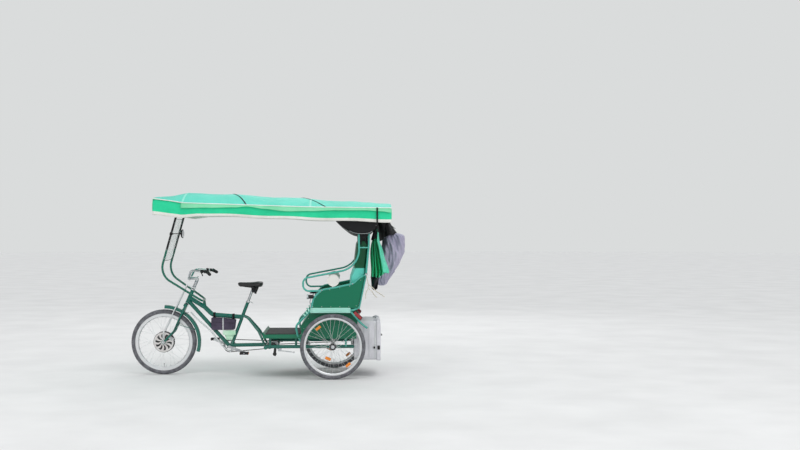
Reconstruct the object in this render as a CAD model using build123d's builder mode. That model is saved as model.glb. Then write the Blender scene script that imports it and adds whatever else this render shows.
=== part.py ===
from build123d import *
import os
from math import cos, radians, sin

# A cycle rickshaw: a bicycle front half with a hub motor, a two-seat passenger body over
# two rear wheels, and one long canopy over rider and passengers. Sizes in millimetres.
# The front points to -X, the left side to -Y and up is +Z. The origin is on the ground
# under the middle of the whole machine.

os.makedirs("parts", exist_ok=True)

# Wheels
wheelbase = 1741.0
front_axle_x = -1070.0
rear_axle_x = front_axle_x + wheelbase
half_track = 500.0
front_tyre_radius = 335.0
rear_tyre_radius = 327.0
front_tyre_width = 54.0
rear_tyre_width = 44.0
shoulder_rise = 0.15
tread_share = 0.45
rim_lip_radius = 288.0
front_rim_inner_radius = 257.0
rear_rim_inner_radius = 268.0
spoke_radius = 1.1
spoke_seat_gap = 0.3
running_gap = 0.05

# Front end
steering_angle = 23.6
headset_x = -772.0
headset_z = 880.0
head_tube_radius = 20.0
head_tube_top = 14.0
head_tube_length = 140.0
steerer_radius = 14.3
fork_leg_radius = 11.0
fork_half_width = 60.0
dropout_half_width = 58.0
axle_radius_front = 6.0
crown_drop = 183.0
rotor_radius = 101.5
rotor_thickness = 2.0
motor_radius = 99.0
motor_half_width = 30.0
rotor_y = -motor_half_width - 9
mudguard_radius = 371.0
mudguard_half_width = 32.0
mudguard_sheet = 1.6
bar_radius = 11.1
grip_radius = 16.0

# Main frame and drive
main_tube_radius = 23.0
down_tube_radius = 20.0
seat_tube_radius = 17.0
stay_radius = 11.0
bracket_x = -399.0
bracket_z = 288.0
bracket_radius = 21.0
bracket_half_width = 36.0
spindle_radius = 12.0
crank_length = 172.0
crank_angle = -21.4
crank_y = 66.0
crank_thickness = 12.0
chain_y = 48.0
chain_thickness = 8.0
chain_width = 7.0
chainring_pitch_radius = 65.0
jack_x = 70.0
jack_z = 300.0
jack_shaft_radius = 8.0
jack_pitch_radius = 36.0
chain_to_sprocket = 0.8
rear_chain_y = 425.0
hub_sprocket_pitch_radius = 40.0
seatpost_radius = 13.6
seat_tube_top_x = -209.0
seat_tube_top_z = 750.0
saddle_top_z = 953.0
saddle_rear_x = -56.0
saddle_length = 256.0
saddle_width = 180.0

# Chassis
cross_x = -5.0
cross_z = 306.0
side_tube_z = 315.0
side_tube_y = 360.0
side_tube_radius = 17.0
rear_cross_x = 868.0
axle_radius_rear = 10.0
axle_beam_radius = 18.0
axle_beam_half_length = 415.0

# Passenger body
rail_y = 460.0
rail_width = 24.0
rail_height = 46.0
rail_top_z = 708.0
rail_front_x = 446.0
rail_rear_x = 842.0
body_tube_radius = 11.0
trim_tube_radius = 9.5
arm_y = 468.0
post_y = 440.0
panel_sheet = 6.0
floor_z = 440.0
floor_half_width = 400.0
floor_front_x = -30.0
floor_rear_x = 362.0
seat_box_half_width = 405.0
seat_board_thickness = 12.0
seat_cushion_thickness = 130.0

# Canopy
canopy_half_width = 520.0
cloth = 3.0
roof_tube_radius = 9.0
mast_radius = 11.0
mast_y = 290.0

# Rear box
box_front_x = 884.0
box_rear_x = 1110.0
box_bottom_z = 176.0
box_top_z = 565.0
box_half_width = 330.0
box_wall = 5.0
lid_depth = 40.0
lid_overhang = 9.0


def tube(points, radius, bends=0):
    """A round bar along straight runs, joined by arcs of the given radii."""
    with BuildPart() as piece:
        with BuildLine():
            path = FilletPolyline(*points, radius=bends) if bends else Line(*points)
        with BuildSketch(Plane(origin=path @ 0, z_dir=path % 0)):
            Circle(radius)
        sweep()
    return piece.part


def both_sides(points):
    """The same points on the left and on the right side."""
    return [[(x, side * y, z) for x, y, z in points] for side in (-1, 1)]


def side_plane(y):
    """A plane across the machine at y: its own x runs along X and its own y along Z."""
    return Plane.XZ.offset(-y)


def plate(outline, y_low, y_high):
    """A flat piece: an outline of (x, z) corners, from y_low to y_high."""
    with BuildPart() as piece:
        with BuildSketch(side_plane(y_high)):
            with BuildLine():
                Polyline(*outline, close=True)
            make_face()
        extrude(amount=y_high - y_low)
    return piece.part


def disc(x, y_low, y_high, z, radius):
    """A round piece whose axis lies across the machine."""
    with BuildPart() as piece:
        with BuildSketch(side_plane(y_high)):
            with Locations((x, z)):
                Circle(radius)
        extrude(amount=y_high - y_low)
    return piece.part


def polar(radius, angle):
    return (radius * cos(radians(angle)), radius * sin(radians(angle)))


def radial_plane(x, y, z, angle):
    """A plane through an axle: its own x points away from the axle, its y lies along it."""
    a = radians(angle)
    return Plane(origin=(x, y, z), x_dir=(cos(a), 0, sin(a)), z_dir=(-sin(a), 0, cos(a)))


def save(builder, name):
    builder.part.label = name
    export_step(builder.part, f"parts/{name}.step")


# The steering axis leans back by steering_angle; s is measured down it from the headset.
def on_steering_axis(s, forward=0.0, y=0.0):
    lean = radians(steering_angle)
    x = headset_x - s * sin(lean) - forward * cos(lean)
    z = headset_z - s * cos(lean) + forward * sin(lean)
    return (x, y, z)


def steering_plane(s):
    up = (sin(radians(steering_angle)), 0, cos(radians(steering_angle)))
    return Plane(origin=on_steering_axis(s), x_dir=(0, -1, 0), z_dir=up)


# Canopy: stations along X with the side edge height, the rise of the arch in the middle
# and the height of the valance's lower hem
canopy_stations = (
    (-1112.0, 1798.0, 26.0, 1646.0),
    (-940.0, 1777.0, 68.0, 1620.0),
    (-818.0, 1756.0, 112.0, 1611.0),
    (-670.0, 1751.0, 121.0, 1632.0),
    (-296.0, 1739.0, 114.0, 1622.0),
    (445.0, 1715.0, 97.0, 1590.0),
    (1257.0, 1706.0, 52.0, 1568.0),
)


def canopy_at(x):
    """Side edge height and rise at a place between two stations."""
    for (x1, z1, rise1, _), (x2, z2, rise2, _) in zip(canopy_stations, canopy_stations[1:]):
        if x <= x2:
            share = (x - x1) / (x2 - x1)
            return z1 + share * (z2 - z1), rise1 + share * (rise2 - rise1)
    return z2, rise2


def bow_z(x, y, half_width, drop):
    """Height of an arched bow under the cloth: a circle through its ends and its crown."""
    side_z, rise = canopy_at(x)
    radius = (half_width**2 + rise**2) / (2 * rise)
    return side_z - drop + rise - radius + (radius**2 - y**2) ** 0.5


roof_half_width = canopy_half_width - 14
bow_drop = 13.0
bows_x = (-1098.0, -855.0, -300.0, 330.0, 925.0, 1040.0, 1243.0)
mast_top_x, arm_top_x, post_top_x = bows_x[1], bows_x[4], bows_x[5]


# Wheels: a tyre seated on its rim, the rim, the laced spokes and the hub
def bead_half_width(radius, width):
    """Half the tyre's width where it meets the rim's lip."""
    seat_height = rim_lip_radius - (radius - width / 2)
    return (width**2 / 4 - seat_height**2) ** 0.5


def make_tyre(x, y, radius, width):
    half = width / 2
    # one side from bead to tread: distance from the axle, distance from the middle
    section = [
        (rim_lip_radius, bead_half_width(radius, width)),
        (radius - half + shoulder_rise * half, half),
        (radius, tread_share * half),
    ]
    section += [(r, -across) for r, across in reversed(section)]
    with BuildPart() as tyre:
        with BuildSketch(Plane(origin=(x, y, radius))):
            with BuildLine():
                Polyline(*section, close=True)
            make_face()
        revolve(axis=Axis((x, y, radius), (0, 1, 0)))
    return tyre


def make_rim(x, y, radius, width, inner_radius):
    half = bead_half_width(radius, width)
    well = rim_lip_radius - 8
    shoulder = inner_radius + 7
    flat = 0.55 * half
    with BuildPart() as rim:
        with BuildSketch(Plane(origin=(x, y, radius))):
            with BuildLine():
                Polyline(
                    (rim_lip_radius, half),
                    (rim_lip_radius, half - 4),
                    (well, half - 5),
                    (well, 5 - half),
                    (rim_lip_radius, 4 - half),
                    (rim_lip_radius, -half),
                    (shoulder, -half),
                    (inner_radius, -flat),
                    (inner_radius, flat),
                    (shoulder, half),
                    close=True,
                )
            make_face()
        revolve(axis=Axis((x, y, radius), (0, 1, 0)))
    return rim


def spoke(x, y, z, hole_radius, hole_angle, hole_y, rim_radius, rim_angle, rim_y):
    """One spoke from beside its flange hole to the inside of the rim."""
    a, b = radians(hole_angle), radians(rim_angle)
    start = Vector(x + hole_radius * cos(a), y + hole_y, z + hole_radius * sin(a))
    end = Vector(x + rim_radius * cos(b), y + rim_y, z + rim_radius * sin(b))
    with BuildPart() as piece:
        with BuildSketch(Plane(origin=start, z_dir=end - start)):
            RegularPolygon(spoke_radius, 6)
        extrude(amount=(end - start).length - spoke_seat_gap)
    return piece.part


def make_spokes(x, y, z, hole_radius, flange_y, lace, rim_radius):
    """36 spokes: on each flange, 9 lean forward outside it and 9 lean back inside it."""
    half_flange = 1.5
    # the outer spokes start further out, because they lean in over the flange's edge
    lean_in = 10 * flange_y / (rim_radius - hole_radius)
    laced = []
    for side in (-1, 1):
        for lean in (-1, 1):
            beside_flange = half_flange + spoke_radius + 0.1 + (lean_in if lean > 0 else 0)
            hole_y = side * (flange_y + lean * beside_flange)
            first = 5 * side + 10 * lean
            for turn in range(9):
                hole_angle = first + 40 * turn
                rim_angle = hole_angle + lean * lace
                laced.append(
                    spoke(x, y, z, hole_radius, hole_angle, hole_y, rim_radius, rim_angle, 4 * side)
                )
    with BuildPart() as spokes:
        add(laced)
    return spokes


front_tyre = make_tyre(front_axle_x, 0, front_tyre_radius, front_tyre_width)
save(front_tyre, "front_tyre")
front_rim = make_rim(front_axle_x, 0, front_tyre_radius, front_tyre_width, front_rim_inner_radius)
save(front_rim, "front_rim")
motor_flange_y = 22.0
front_spokes = make_spokes(
    front_axle_x, 0, front_tyre_radius, motor_radius + 3, motor_flange_y, 20, front_rim_inner_radius
)
save(front_spokes, "front_spokes")

# The motor is a wide drum with a spoke flange at each side and a boss for the rotor
with BuildPart() as hub_motor:
    with BuildSketch(Plane(origin=(front_axle_x, 0, front_tyre_radius))):
        with BuildLine():
            Polyline(
                (axle_radius_front + running_gap, -motor_half_width - 9),
                (24, -motor_half_width - 9),
                (28, -motor_half_width),
                (motor_radius - 12, -motor_half_width),
                (motor_radius - 2, -motor_flange_y - 1.5),
                (motor_radius + 8, -motor_flange_y - 1.5),
                (motor_radius + 8, -motor_flange_y + 1.5),
                (motor_radius - 4, -motor_flange_y + 1.5),
                (motor_radius - 4, motor_flange_y - 1.5),
                (motor_radius + 8, motor_flange_y - 1.5),
                (motor_radius + 8, motor_flange_y + 1.5),
                (motor_radius - 2, motor_flange_y + 1.5),
                (motor_radius - 12, motor_half_width),
                (28, motor_half_width),
                (24, motor_half_width + 14),
                (axle_radius_front + running_gap, motor_half_width + 14),
                close=True,
            )
        make_face()
    revolve(axis=Axis((front_axle_x, 0, front_tyre_radius), (0, 1, 0)))
save(hub_motor, "hub_motor")

# The brake rotor: an outer track carried by broad curved arms from an inner ring
rotor_arms = 10
with BuildPart() as brake_rotor:
    rotor_middle = (front_axle_x, rotor_y, front_tyre_radius)
    with BuildSketch(Plane(origin=rotor_middle, x_dir=(1, 0, 0), z_dir=(0, -1, 0))):
        Circle(rotor_radius)
        Circle(rotor_radius - 17, mode=Mode.SUBTRACT)
        Circle(31)
        for arm in range(rotor_arms):
            turn = 360 / rotor_arms * arm
            outer_end, inner_end = rotor_radius - 15, 29
            with BuildLine():
                ThreePointArc(polar(inner_end, turn + 4), polar(60, turn + 23), polar(outer_end, turn + 14))
                Line(polar(outer_end, turn + 14), polar(outer_end, turn - 4))
                ThreePointArc(polar(outer_end, turn - 4), polar(60, turn + 5), polar(inner_end, turn - 20))
                Line(polar(inner_end, turn - 20), polar(inner_end, turn + 4))
            make_face()
        Circle(17, mode=Mode.SUBTRACT)
    extrude(amount=rotor_thickness)
save(brake_rotor, "brake_rotor")

hub_half_length = 51.0
hub_flange_y = 34.0
hub_hole_radius = 29.0
for name, side in (("rear_left", -1), ("rear_right", 1)):
    x, y, z = rear_axle_x, side * half_track, rear_tyre_radius
    tyre = make_tyre(x, y, rear_tyre_radius, rear_tyre_width)
    save(tyre, f"{name}_tyre")
    rim = make_rim(x, y, rear_tyre_radius, rear_tyre_width, rear_rim_inner_radius)
    save(rim, f"{name}_rim")
    spokes = make_spokes(x, y, z, hub_hole_radius, hub_flange_y, 60, rear_rim_inner_radius)
    save(spokes, f"{name}_spokes")
    with BuildPart() as hub:
        for low, high, radius in (
            (-hub_half_length, hub_half_length, 19),
            (-hub_flange_y - 1.5, -hub_flange_y + 1.5, hub_hole_radius + 5),
            (hub_flange_y - 1.5, hub_flange_y + 1.5, hub_hole_radius + 5),
        ):
            add(disc(x, y + low, y + high, z, radius))
        if side > 0:
            add(disc(x, rear_chain_y - 2, y - hub_half_length, z, 17))
            sprocket_radius = hub_sprocket_pitch_radius - chain_thickness / 2 - chain_to_sprocket
            add(disc(x, rear_chain_y - 2, rear_chain_y + 2, z, sprocket_radius))
        add(disc(x, y - 90, y + 90, z, axle_radius_rear + running_gap), mode=Mode.SUBTRACT)
    save(hub, f"{name}_hub")

# Steering: fork with crown and steerer, truss rods, front axle, mudguard, caliper
dropout_end = (front_axle_x, dropout_half_width, front_tyre_radius)
leg_top = on_steering_axis(crown_drop, 0, fork_half_width)
leg_knee = (-962.0, fork_half_width, 448.0)
crown_thickness = 26.0
with BuildPart() as fork:
    with BuildSketch(steering_plane(crown_drop)):
        SlotOverall(2 * fork_half_width + 34, 40)
    extrude(amount=crown_thickness / 2, both=True)
    with BuildSketch(steering_plane(crown_drop)):
        Circle(steerer_radius)
    extrude(amount=crown_drop + 45)
    for points in both_sides([leg_top, leg_knee, dropout_end]):
        add(tube(points, fork_leg_radius, 90))
    for side in (-1, 1):
        y = side * dropout_half_width
        add(disc(front_axle_x, y - 4, y + 4, front_tyre_radius, 20))
    with BuildSketch(side_plane(100)):
        with Locations((front_axle_x, front_tyre_radius)):
            Circle(axle_radius_front)
    extrude(amount=200, mode=Mode.SUBTRACT)
    # the legs end on the flat inner and outer faces of the dropouts
    inner_face, outer_face = dropout_half_width - 4, dropout_half_width + 4
    for low, high in ((-inner_face, inner_face), (-100, -outer_face), (outer_face, 100)):
        add(disc(front_axle_x, low, high, front_tyre_radius, 34), mode=Mode.SUBTRACT)
save(fork, "fork")

truss_lug_y = dropout_half_width + 4
truss_lug = 8.0
truss_rod_radius = 6.0
truss_plate_s = -8.0
with BuildPart() as truss_rods:
    # the top plate clamps the steerer above the head tube
    with BuildSketch(steering_plane(truss_plate_s)):
        with BuildLine():
            Polyline((-24, 22), (24, 22), (44, -84), (-44, -84), close=True)
        make_face()
        Circle(steerer_radius, mode=Mode.SUBTRACT)
    extrude(amount=8)
    rod_top = on_steering_axis(truss_plate_s, 74, 34)
    rod_knee = (-1071.0, truss_lug_y + truss_lug, 433.0)
    rod_end = (front_axle_x, truss_lug_y + truss_lug, front_tyre_radius)
    for points in both_sides([rod_top, rod_knee, rod_end]):
        add(tube(points, truss_rod_radius, 60))
    # each rod ends in a flattened eye on the axle
    eye_outer_y = truss_lug_y + truss_lug
    for low, high in ((-eye_outer_y, -truss_lug_y), (truss_lug_y, eye_outer_y)):
        add(disc(front_axle_x, low, high, front_tyre_radius, 15))
    for low, high in ((-100, -eye_outer_y), (eye_outer_y, 100)):
        add(disc(front_axle_x, low, high, front_tyre_radius, 17), mode=Mode.SUBTRACT)
    add(disc(front_axle_x, -100, 100, front_tyre_radius, axle_radius_front), mode=Mode.SUBTRACT)
save(truss_rods, "truss_rods")

with BuildPart() as front_axle:
    add(disc(front_axle_x, -truss_lug_y - 22, truss_lug_y + 22, front_tyre_radius, axle_radius_front))
    for low in (-truss_lug_y - 18, truss_lug_y + 8):
        with BuildSketch(side_plane(low + 10)):
            with Locations((front_axle_x, front_tyre_radius)):
                RegularPolygon(11, 6)
        extrude(amount=10)
save(front_axle, "front_axle")

guard_low_angle = -16.0
guard_sweep = 105.0
guard_lip = 26.0
guard_crown = 9.0
with BuildPart() as front_mudguard:
    # a channel section: crowned in the middle, with a side wall at each edge
    r, w, t = mudguard_radius, mudguard_half_width, mudguard_sheet
    with BuildSketch(radial_plane(front_axle_x, 0, front_tyre_radius, guard_low_angle)):
        with BuildLine():
            Polyline((r, w), (r - guard_lip, w), (r - guard_lip, w - t), (r - t, w - t))
            ThreePointArc((r - t, w - t), (r - t + guard_crown, 0), (r - t, t - w))
            Polyline((r - t, t - w), (r - guard_lip, t - w), (r - guard_lip, -w), (r, -w))
            ThreePointArc((r, -w), (r + guard_crown, 0), (r, w))
        make_face()
    revolve(axis=Axis((front_axle_x, 0, front_tyre_radius), (0, -1, 0)), revolution_arc=guard_sweep)
    # a strap up to the fork crown and a wire stay from each fork leg
    add(plate([(-862.0, 706.0), (-834.0, 706.0), (-866.0, 648.0), (-890.0, 659.0)], -14, 14))
    stay = [(-930.0, fork_half_width, 520.0), (-736.0, mudguard_half_width - 1, 456.0)]
    for points in both_sides(stay):
        add(tube(points, 3))
    add(fork.part, mode=Mode.SUBTRACT)
save(front_mudguard, "front_mudguard")

# The caliper straddles the rotor behind the left fork leg
caliper_gap = 2.0
caliper_x, caliper_z = -992.0, 372.0
with BuildPart() as brake_caliper:
    with BuildSketch(side_plane(rotor_y + 5)):
        with Locations(Location((caliper_x, caliper_z), -40)):
            RectangleRounded(52, 34, 8)
    extrude(amount=19)
    with BuildSketch(side_plane(rotor_y + caliper_gap)):
        with Locations((front_axle_x, front_tyre_radius)):
            Circle(rotor_radius + 4)
    extrude(amount=rotor_thickness + 2 * caliper_gap, mode=Mode.SUBTRACT)
    add(fork.part, mode=Mode.SUBTRACT)
save(brake_caliper, "brake_caliper")

# Handlebar: the stem reaches forward from the steerer, the bar rises and sweeps back
stem_s = -118.0
clamp_x, clamp_z = -811.0, 988.0
grip_inner = (-600.0, 262.0, 1064.0)
grip_outer = (-566.0, 330.0, 1040.0)
stem_head = on_steering_axis(stem_s)
with BuildPart() as handlebar:
    with BuildSketch(steering_plane(truss_plate_s - 8)):
        Circle(17)
    extrude(amount=-stem_s + truss_plate_s - 8)
    add(tube([stem_head, (clamp_x, 0, clamp_z)], 13))
    add(disc(clamp_x, -24, 24, clamp_z, 19))
    bar_points = [
        (clamp_x, 0, clamp_z),
        (clamp_x, 95, clamp_z),
        (-775, 170, 1078),
        grip_inner,
        grip_outer,
    ]
    for points in both_sides(bar_points):
        add(tube(points, bar_radius, [45, 45, 30]))
    # brake lever blades in front of the grips
    for points in both_sides([(-640, 215, 1078), (-672, 250, 1072), (-640, 320, 1030)]):
        add(tube(points, 5, 25))
    with BuildSketch(steering_plane(truss_plate_s - 8)):
        Circle(steerer_radius)
    extrude(amount=crown_drop, both=True, mode=Mode.SUBTRACT)
save(handlebar, "handlebar")

with BuildPart() as grips:
    for points in both_sides([grip_inner, grip_outer]):
        start, end = Vector(*points[0]), Vector(*points[1])
        along = (end - start).normalized()
        add(tube([start + along * 2, end + along * 6], grip_radius))
    add(handlebar.part, mode=Mode.SUBTRACT)
save(grips, "grips")

# Main frame: welded round tubes from the head tube back to the cross tube
down_tube_top = on_steering_axis(head_tube_top + 0.84 * head_tube_length)
main_tube_points = [
    on_steering_axis(head_tube_top + 0.6 * head_tube_length),
    (-655.0, 0.0, 692.0),
    (-575.0, 0.0, 614.0),
    (-258.0, 0.0, 588.0),
]
seat_tube_foot = (-378.0, 0.0, 300.0)
seat_tube_top = (seat_tube_top_x, 0.0, seat_tube_top_z)
stay_points = [
    (-262.0, 26.0, 606.0),
    (-205.0, 48.0, 578.0),
    (-95.0, 96.0, 446.0),
    (-28.0, 150.0, 312.0),
]
with BuildPart() as main_frame:
    with BuildSketch(steering_plane(head_tube_top + head_tube_length)):
        Circle(head_tube_radius)
    extrude(amount=head_tube_length)
    add(tube(main_tube_points, main_tube_radius, [70, 70]))
    add(tube([down_tube_top, (bracket_x, 0, bracket_z)], down_tube_radius))
    add(tube([seat_tube_foot, seat_tube_top], seat_tube_radius))
    add(tube([(bracket_x, 0, 297), (cross_x, 0, 303)], 19))
    for points in both_sides(stay_points):
        add(tube(points, stay_radius, [90, 110]))
    add(disc(bracket_x, -bracket_half_width, bracket_half_width, bracket_z, bracket_radius))
    add(tube([(cross_x, -side_tube_y - 19, cross_z), (cross_x, side_tube_y + 19, cross_z)], 19))
    # bores for the steerer, the crank spindle and the seat post
    with BuildSketch(steering_plane(-60)):
        Circle(steerer_radius + running_gap)
    extrude(amount=-330, mode=Mode.SUBTRACT)
    add(disc(bracket_x, -60, 60, bracket_z, spindle_radius + running_gap), mode=Mode.SUBTRACT)
    seat_up = (Vector(*seat_tube_top) - Vector(*seat_tube_foot)).normalized()
    post_foot = Vector(*seat_tube_top) - seat_up * 150
    bore_top = Vector(*seat_tube_top) + seat_up * 5
    add(tube([post_foot, bore_top], seatpost_radius + running_gap), mode=Mode.SUBTRACT)
save(main_frame, "main_frame")

with BuildPart() as seatpost:
    post_top = Vector(*seat_tube_top) + seat_up * 150
    add(tube([post_foot + seat_up * 0.3, post_top], seatpost_radius))
    add(disc(post_top.X, -22, 22, post_top.Z, 17))
save(seatpost, "seatpost")

# Saddle: a plan outline from a narrow nose to a wide tail, rounded over
saddle_front_x = saddle_rear_x - saddle_length
saddle_height = 48.0
nose = 20.0
with BuildPart() as saddle:
    with BuildSketch(Plane.XY.offset(saddle_top_z - saddle_height)):
        with BuildLine():
            outline = Polyline(
                (saddle_front_x + nose, nose),
                (saddle_rear_x - 130, nose + 12),
                (saddle_rear_x - 60, saddle_width / 2),
                (saddle_rear_x - 20, saddle_width / 2 - 5),
            )
            ThreePointArc(
                (saddle_rear_x - 20, saddle_width / 2 - 5),
                (saddle_rear_x, 0),
                (saddle_rear_x - 20, 5 - saddle_width / 2),
            )
            mirror(outline, about=Plane.XZ)
            ThreePointArc(
                (saddle_front_x + nose, -nose), (saddle_front_x, 0), (saddle_front_x + nose, nose)
            )
        make_face()
    extrude(amount=saddle_height)
    fillet(saddle.faces().sort_by(Axis.Z)[-1].edges(), 15)
    add(seatpost.part, mode=Mode.SUBTRACT)
save(saddle, "saddle")

# Crankset: spindle, chainring on the right, two opposite arms
crank_dx = crank_length * cos(radians(crank_angle))
crank_dz = crank_length * sin(radians(crank_angle))
pedal_axle_radius = 7.0
pedal_y = crank_y + crank_thickness / 2 + 2
with BuildPart() as crankset:
    add(disc(bracket_x, -crank_y - 6, crank_y + 6, bracket_z, spindle_radius))
    with BuildSketch(side_plane(chain_y + 2)):
        with Locations((bracket_x, bracket_z)):
            Circle(chainring_pitch_radius - chain_thickness / 2 - chain_to_sprocket)
            Circle(chainring_pitch_radius - chain_thickness / 2 - 14, mode=Mode.SUBTRACT)
            for arm in range(5):
                with Locations(Location((0, 0), 72 * arm)):
                    Rectangle(chainring_pitch_radius - 10, 12, align=(Align.MIN, Align.CENTER))
            Circle(spindle_radius + 8)
    extrude(amount=4)
    for side in (-1, 1):
        y = side * crank_y
        end_x, end_z = bracket_x - side * crank_dx, bracket_z - side * crank_dz
        middle = ((bracket_x + end_x) / 2, (bracket_z + end_z) / 2)
        with BuildSketch(side_plane(y + crank_thickness / 2)):
            with Locations(Location(middle, crank_angle)):
                SlotCenterToCenter(crank_length, 26)
        extrude(amount=crank_thickness)
        low, high = sorted((side * (crank_y + 2), side * (pedal_y + 96)))
        add(disc(end_x, low, high, end_z, pedal_axle_radius))
save(crankset, "crankset")

for name, side in (("pedal_left", -1), ("pedal_right", 1)):
    end_x, end_z = bracket_x - side * crank_dx, bracket_z - side * crank_dz
    low, high = sorted((side * (pedal_y + 2), side * (pedal_y + 94)))
    with BuildPart() as pedal:
        with BuildSketch(side_plane(high)):
            with Locations((end_x, end_z)):
                RectangleRounded(92, 26, 8)
                with Locations((-29, 0), (29, 0)):
                    Rectangle(16, 10, mode=Mode.SUBTRACT)
                Circle(pedal_axle_radius + running_gap, mode=Mode.SUBTRACT)
        extrude(amount=high - low)
    save(pedal, name)

# Two chains: crankset to jack shaft, and jack shaft to the right rear hub
def chain_loop(x1, z1, radius1, x2, z2, radius2, y):
    with BuildPart() as loop:
        for offset, mode in ((chain_thickness / 2, Mode.ADD), (-chain_thickness / 2, Mode.SUBTRACT)):
            with BuildSketch(side_plane(y + chain_width / 2)):
                with Locations((x1, z1)):
                    Circle(radius1 + offset)
                with Locations((x2, z2)):
                    Circle(radius2 + offset)
                make_hull()
            extrude(amount=chain_width, mode=mode)
    return loop.part


with BuildPart() as drive_chains:
    add(
        chain_loop(
            bracket_x, bracket_z, chainring_pitch_radius,
            jack_x, jack_z, jack_pitch_radius, chain_y,
        )
    )
    add(
        chain_loop(
            jack_x, jack_z, jack_pitch_radius,
            rear_axle_x, rear_tyre_radius, hub_sprocket_pitch_radius, rear_chain_y,
        )
    )
save(drive_chains, "drive_chains")

with BuildPart() as jack_shaft:
    add(disc(jack_x, chain_y - 8, rear_chain_y + 6, jack_z, jack_shaft_radius))
    for y in (chain_y, rear_chain_y):
        sprocket_radius = jack_pitch_radius - chain_thickness / 2 - chain_to_sprocket
        add(disc(jack_x, y - 2, y + 2, jack_z, sprocket_radius))
save(jack_shaft, "jack_shaft")

# Chassis: side tubes, axle beam, rear cross tube, bearing blocks and floor posts
bearing_y = (90.0, side_tube_y)
with BuildPart() as chassis:
    side_tube = [(cross_x, side_tube_y, side_tube_z), (rear_cross_x, side_tube_y, side_tube_z)]
    for points in both_sides(side_tube):
        add(tube(points, side_tube_radius))
    for x, half_length, z, radius in (
        (rear_axle_x, axle_beam_half_length, rear_tyre_radius, axle_beam_radius),
        (rear_cross_x, side_tube_y + side_tube_radius, side_tube_z, side_tube_radius),
    ):
        add(disc(x, -half_length, half_length, z, radius))
    for y in bearing_y:
        with BuildSketch(side_plane(y + 20)):
            with Locations((jack_x, jack_z + 4)):
                RectangleRounded(52, 56, 8)
        extrude(amount=40)
    # a housing tube joins the two bearings, and a bar ties the inner one to the cross tube
    add(disc(jack_x, bearing_y[0], bearing_y[1], jack_z, jack_shaft_radius + 7))
    add(plate([(cross_x, 292), (jack_x - 20, 292), (jack_x - 20, 320), (cross_x, 320)], 75, 105))
    # clamp collars where the side tubes meet the front half
    for x in (36.0, 120.0):
        for y in (-side_tube_y, side_tube_y):
            add(tube([(x - 8, y, side_tube_z), (x + 8, y, side_tube_z)], side_tube_radius + 6))
    for x in (40.0, 300.0):
        for points in both_sides([(x, side_tube_y, side_tube_z), (x, side_tube_y, floor_z - 6)]):
            add(tube(points, 12))
    add(disc(jack_x, 40, rear_chain_y, jack_z, jack_shaft_radius + running_gap), mode=Mode.SUBTRACT)
    add(disc(rear_axle_x, -500, 500, rear_tyre_radius, axle_radius_rear), mode=Mode.SUBTRACT)
    add(main_frame.part, mode=Mode.SUBTRACT)
save(chassis, "chassis")

axle_end_y = half_track + 62
with BuildPart() as rear_axle:
    add(disc(rear_axle_x, -axle_end_y, axle_end_y, rear_tyre_radius, axle_radius_rear))
    for low in (-axle_end_y + 1, axle_end_y - 9):
        with BuildSketch(side_plane(low + 8)):
            with Locations((rear_axle_x, rear_tyre_radius)):
                RegularPolygon(17, 6)
        extrude(amount=8)
save(rear_axle, "rear_axle")

# The tensioner is an arm bolted to the cross tube, with an idler at its lower end
tensioner_z = 190.0
tensioner_arm_y = chain_y - 16
with BuildPart() as chain_tensioner:
    add(
        plate(
            [
                (cross_x + 5, 322.0), (jack_x - 10, 316.0), (jack_x + 14, 296.0),
                (jack_x + 4, tensioner_z - 14), (jack_x - 24, tensioner_z),
                (jack_x - 14, 270.0), (cross_x + 5, 292.0),
            ],
            tensioner_arm_y, tensioner_arm_y + 5,
        )
    )
    add(disc(jack_x - 8, tensioner_arm_y, chain_y + 6, tensioner_z + 10, 20))
    add(main_frame.part, mode=Mode.SUBTRACT)
save(chain_tensioner, "chain_tensioner")

# Parking brake: a flat lever on a pivot plate under the left side tube, and its tail of rod
lever_y = -side_tube_y - 6
with BuildPart() as parking_lever:
    add(plate([(112.0, 299.0), (160.0, 299.0), (150.0, 268.0), (122.0, 268.0)], lever_y, lever_y + 6))
    add(disc(136.0, lever_y - 10, lever_y + 9, 277.0, 7))
    add(
        plate(
            [(126.0, 284.0), (146.0, 283.0), (282.0, 263.0), (284.0, 253.0), (140.0, 269.0), (126.0, 270.0)],
            lever_y - 6, lever_y,
        )
    )
    add(disc(279.0, lever_y - 16, lever_y, 258.0, 8))
    add(chassis.part, mode=Mode.SUBTRACT)
save(parking_lever, "parking_lever")

# Passenger body frame: seat rails, bent front tubes, uprights, diagonals, rear posts,
# arm loops and the tubes that edge the side panels
rail_mid_z = rail_top_z - rail_height / 2
front_bend = [
    (rail_front_x + 10, rail_y, rail_mid_z + 8),
    (300.0, 432.0, 528.0),
    (316.0, 392.0, 430.0),
    (372.0, 366.0, side_tube_z),
]
diagonal = [
    (rail_rear_x - 6, rail_y - 6, rail_mid_z),
    (950.0, rail_y - 14, 556.0),
    (1012.0, box_half_width + 16, 500.0),
]
rail_tail = [
    (rail_rear_x - 8, rail_y, rail_mid_z),
    (rail_rear_x + 30, rail_y, rail_mid_z),
    (936.0, post_y, 716.0),
]
rear_post = [
    (932.0, post_y, 700.0),
    (1003.0, post_y, 1040.0),
    (1030.0, post_y, 1317.0),
    (post_top_x, post_y, bow_z(post_top_x, post_y, roof_half_width, bow_drop)),
]
panel_edge = [
    (rail_front_x + 6, arm_y - 6, rail_mid_z),
    (478.0, arm_y - 6, 808.0),
    (556.0, arm_y - 6, 890.0),
    (700.0, arm_y - 6, 914.0),
    (868.0, arm_y - 6, 950.0),
    (1004.0, post_y, 1044.0),
]
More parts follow.
